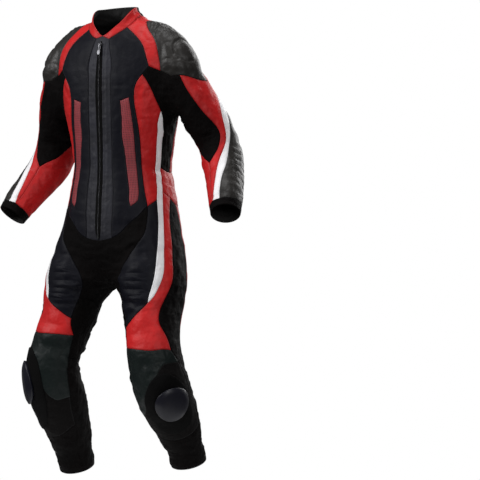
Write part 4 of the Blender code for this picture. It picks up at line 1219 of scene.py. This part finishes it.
def addZip():
    form = zipForm
    rows = bmesh.new()
    downs = np.linspace(form["from"], form["to"], form["steps"])
    for way in (1, -1):
        shift = form["pitch"] / 4 * way  # the two rows of teeth interlock
        places = bodyPlace(np.zeros_like(downs), downs + shift, np.ones_like(downs))
        row = [rows.verts.new(place) for place in places]
        for pair in zip(row, row[1:]):
            rows.edges.new(pair)
    layOnSkin(rows, form["above"])
    for index, vert in enumerate(rows.verts):
        vert.co.x = form["aside"] * (1 if index < len(downs) else -1)
    lines = closed(rows, bpy.data.meshes.new("zip_rows"))
    teeth = strew("zip_teeth", lines, form["pitch"], form["tooth"], "GeometryNodeMeshCube", "zipMetal")
    dressed(teeth, "zipMetal")
    for name, body in (("zip_slider", "suit"), ("zip_pull", "pull")):
        holder = addObject(name + "_metal", closed(packed(name), bpy.data.meshes.new(name)))
        holder.data = modified(holder, "BEVEL", width=form["bevel"], segments=2)
        paint(holder.data, finishes["zipMetal"])
        holder.data.shade_smooth()
        holder.data.set_sharp_from_angle(angle=form["sharp"])
        dressed(holder, "zipMetal", name, body=body)


addOverlays()
addZip()
print("overlays done")

# Each light: place, size and power
studio = {
    "key": ((-2.6, -3.4, 1.6), 1.6, 140),
    "fill": ((3.2, -3.0, 0.6), 2.0, 60),
    "top": ((0.3, -0.6, 3.0), 1.6, 60),
    "back": ((0.6, 3.6, 1.2), 3.2, 120),
}
aim = (0, 0, -0.6)
backdrop = (0.12, 1.0)  # how bright the surroundings are for the suit, and for the camera
floorForm = {"down": -1.50, "radius": 0.66, "sides": 64, "shade": 0.9}
view = {"turn": math.radians(32), "distance": 6, "height": -0.660,
        "azimuth": math.radians(28.49), "lens": 143.1}


def addLights():
    for name, (place, size, power) in studio.items():
        light = bpy.data.lights.new(name, "AREA")
        light.size = size
        light.energy = power
        lamp = addObject(name, light)
        lamp.location = place
        lamp.rotation_euler = (Vector(aim) - lamp.location).to_track_quat("-Z", "Y").to_euler()
    world = bpy.data.worlds.new("studio")
    scene.world = world
    world.use_nodes = True
    tree = Tree(world.node_tree)
    glow, white = (
        tree.node("ShaderNodeBackground", None, {"Color": (1, 1, 1, 1), "Strength": strength})["Background"]
        for strength in backdrop)
    seen = tree.node("ShaderNodeLightPath")["Is Camera Ray"]
    blend = tree.node("ShaderNodeMixShader", None, {0: seen, 1: glow, 2: white})
    tree.node("ShaderNodeOutputWorld", None, {"Surface": blend["Shader"]})


def addFloor():
    made = bmesh.new()
    bmesh.ops.create_circle(made, cap_ends=True, segments=floorForm["sides"], radius=floorForm["radius"])
    floor = addObject("floor", closed(made, bpy.data.meshes.new("floor")))
    floor.location = (0, 0, floorForm["down"])
    shade = floorForm["shade"]
    paint(floor.data, shader("floor", lambda tree: {"Base Color": (shade,) * 3 + (1,), "Roughness": shade}))


def addCamera():
    camera = bpy.data.cameras.new("camera")
    camera.lens = view["lens"]
    holder = addObject("camera", camera)
    turn, distance = view["turn"], view["distance"]
    holder.location = (distance * math.sin(turn), -distance * math.cos(turn), view["height"])
    holder.rotation_euler = (math.radians(90), 0, view["azimuth"])
    scene.camera = holder


addLights()
addFloor()
addCamera()
scene.view_settings.view_transform = "Standard"
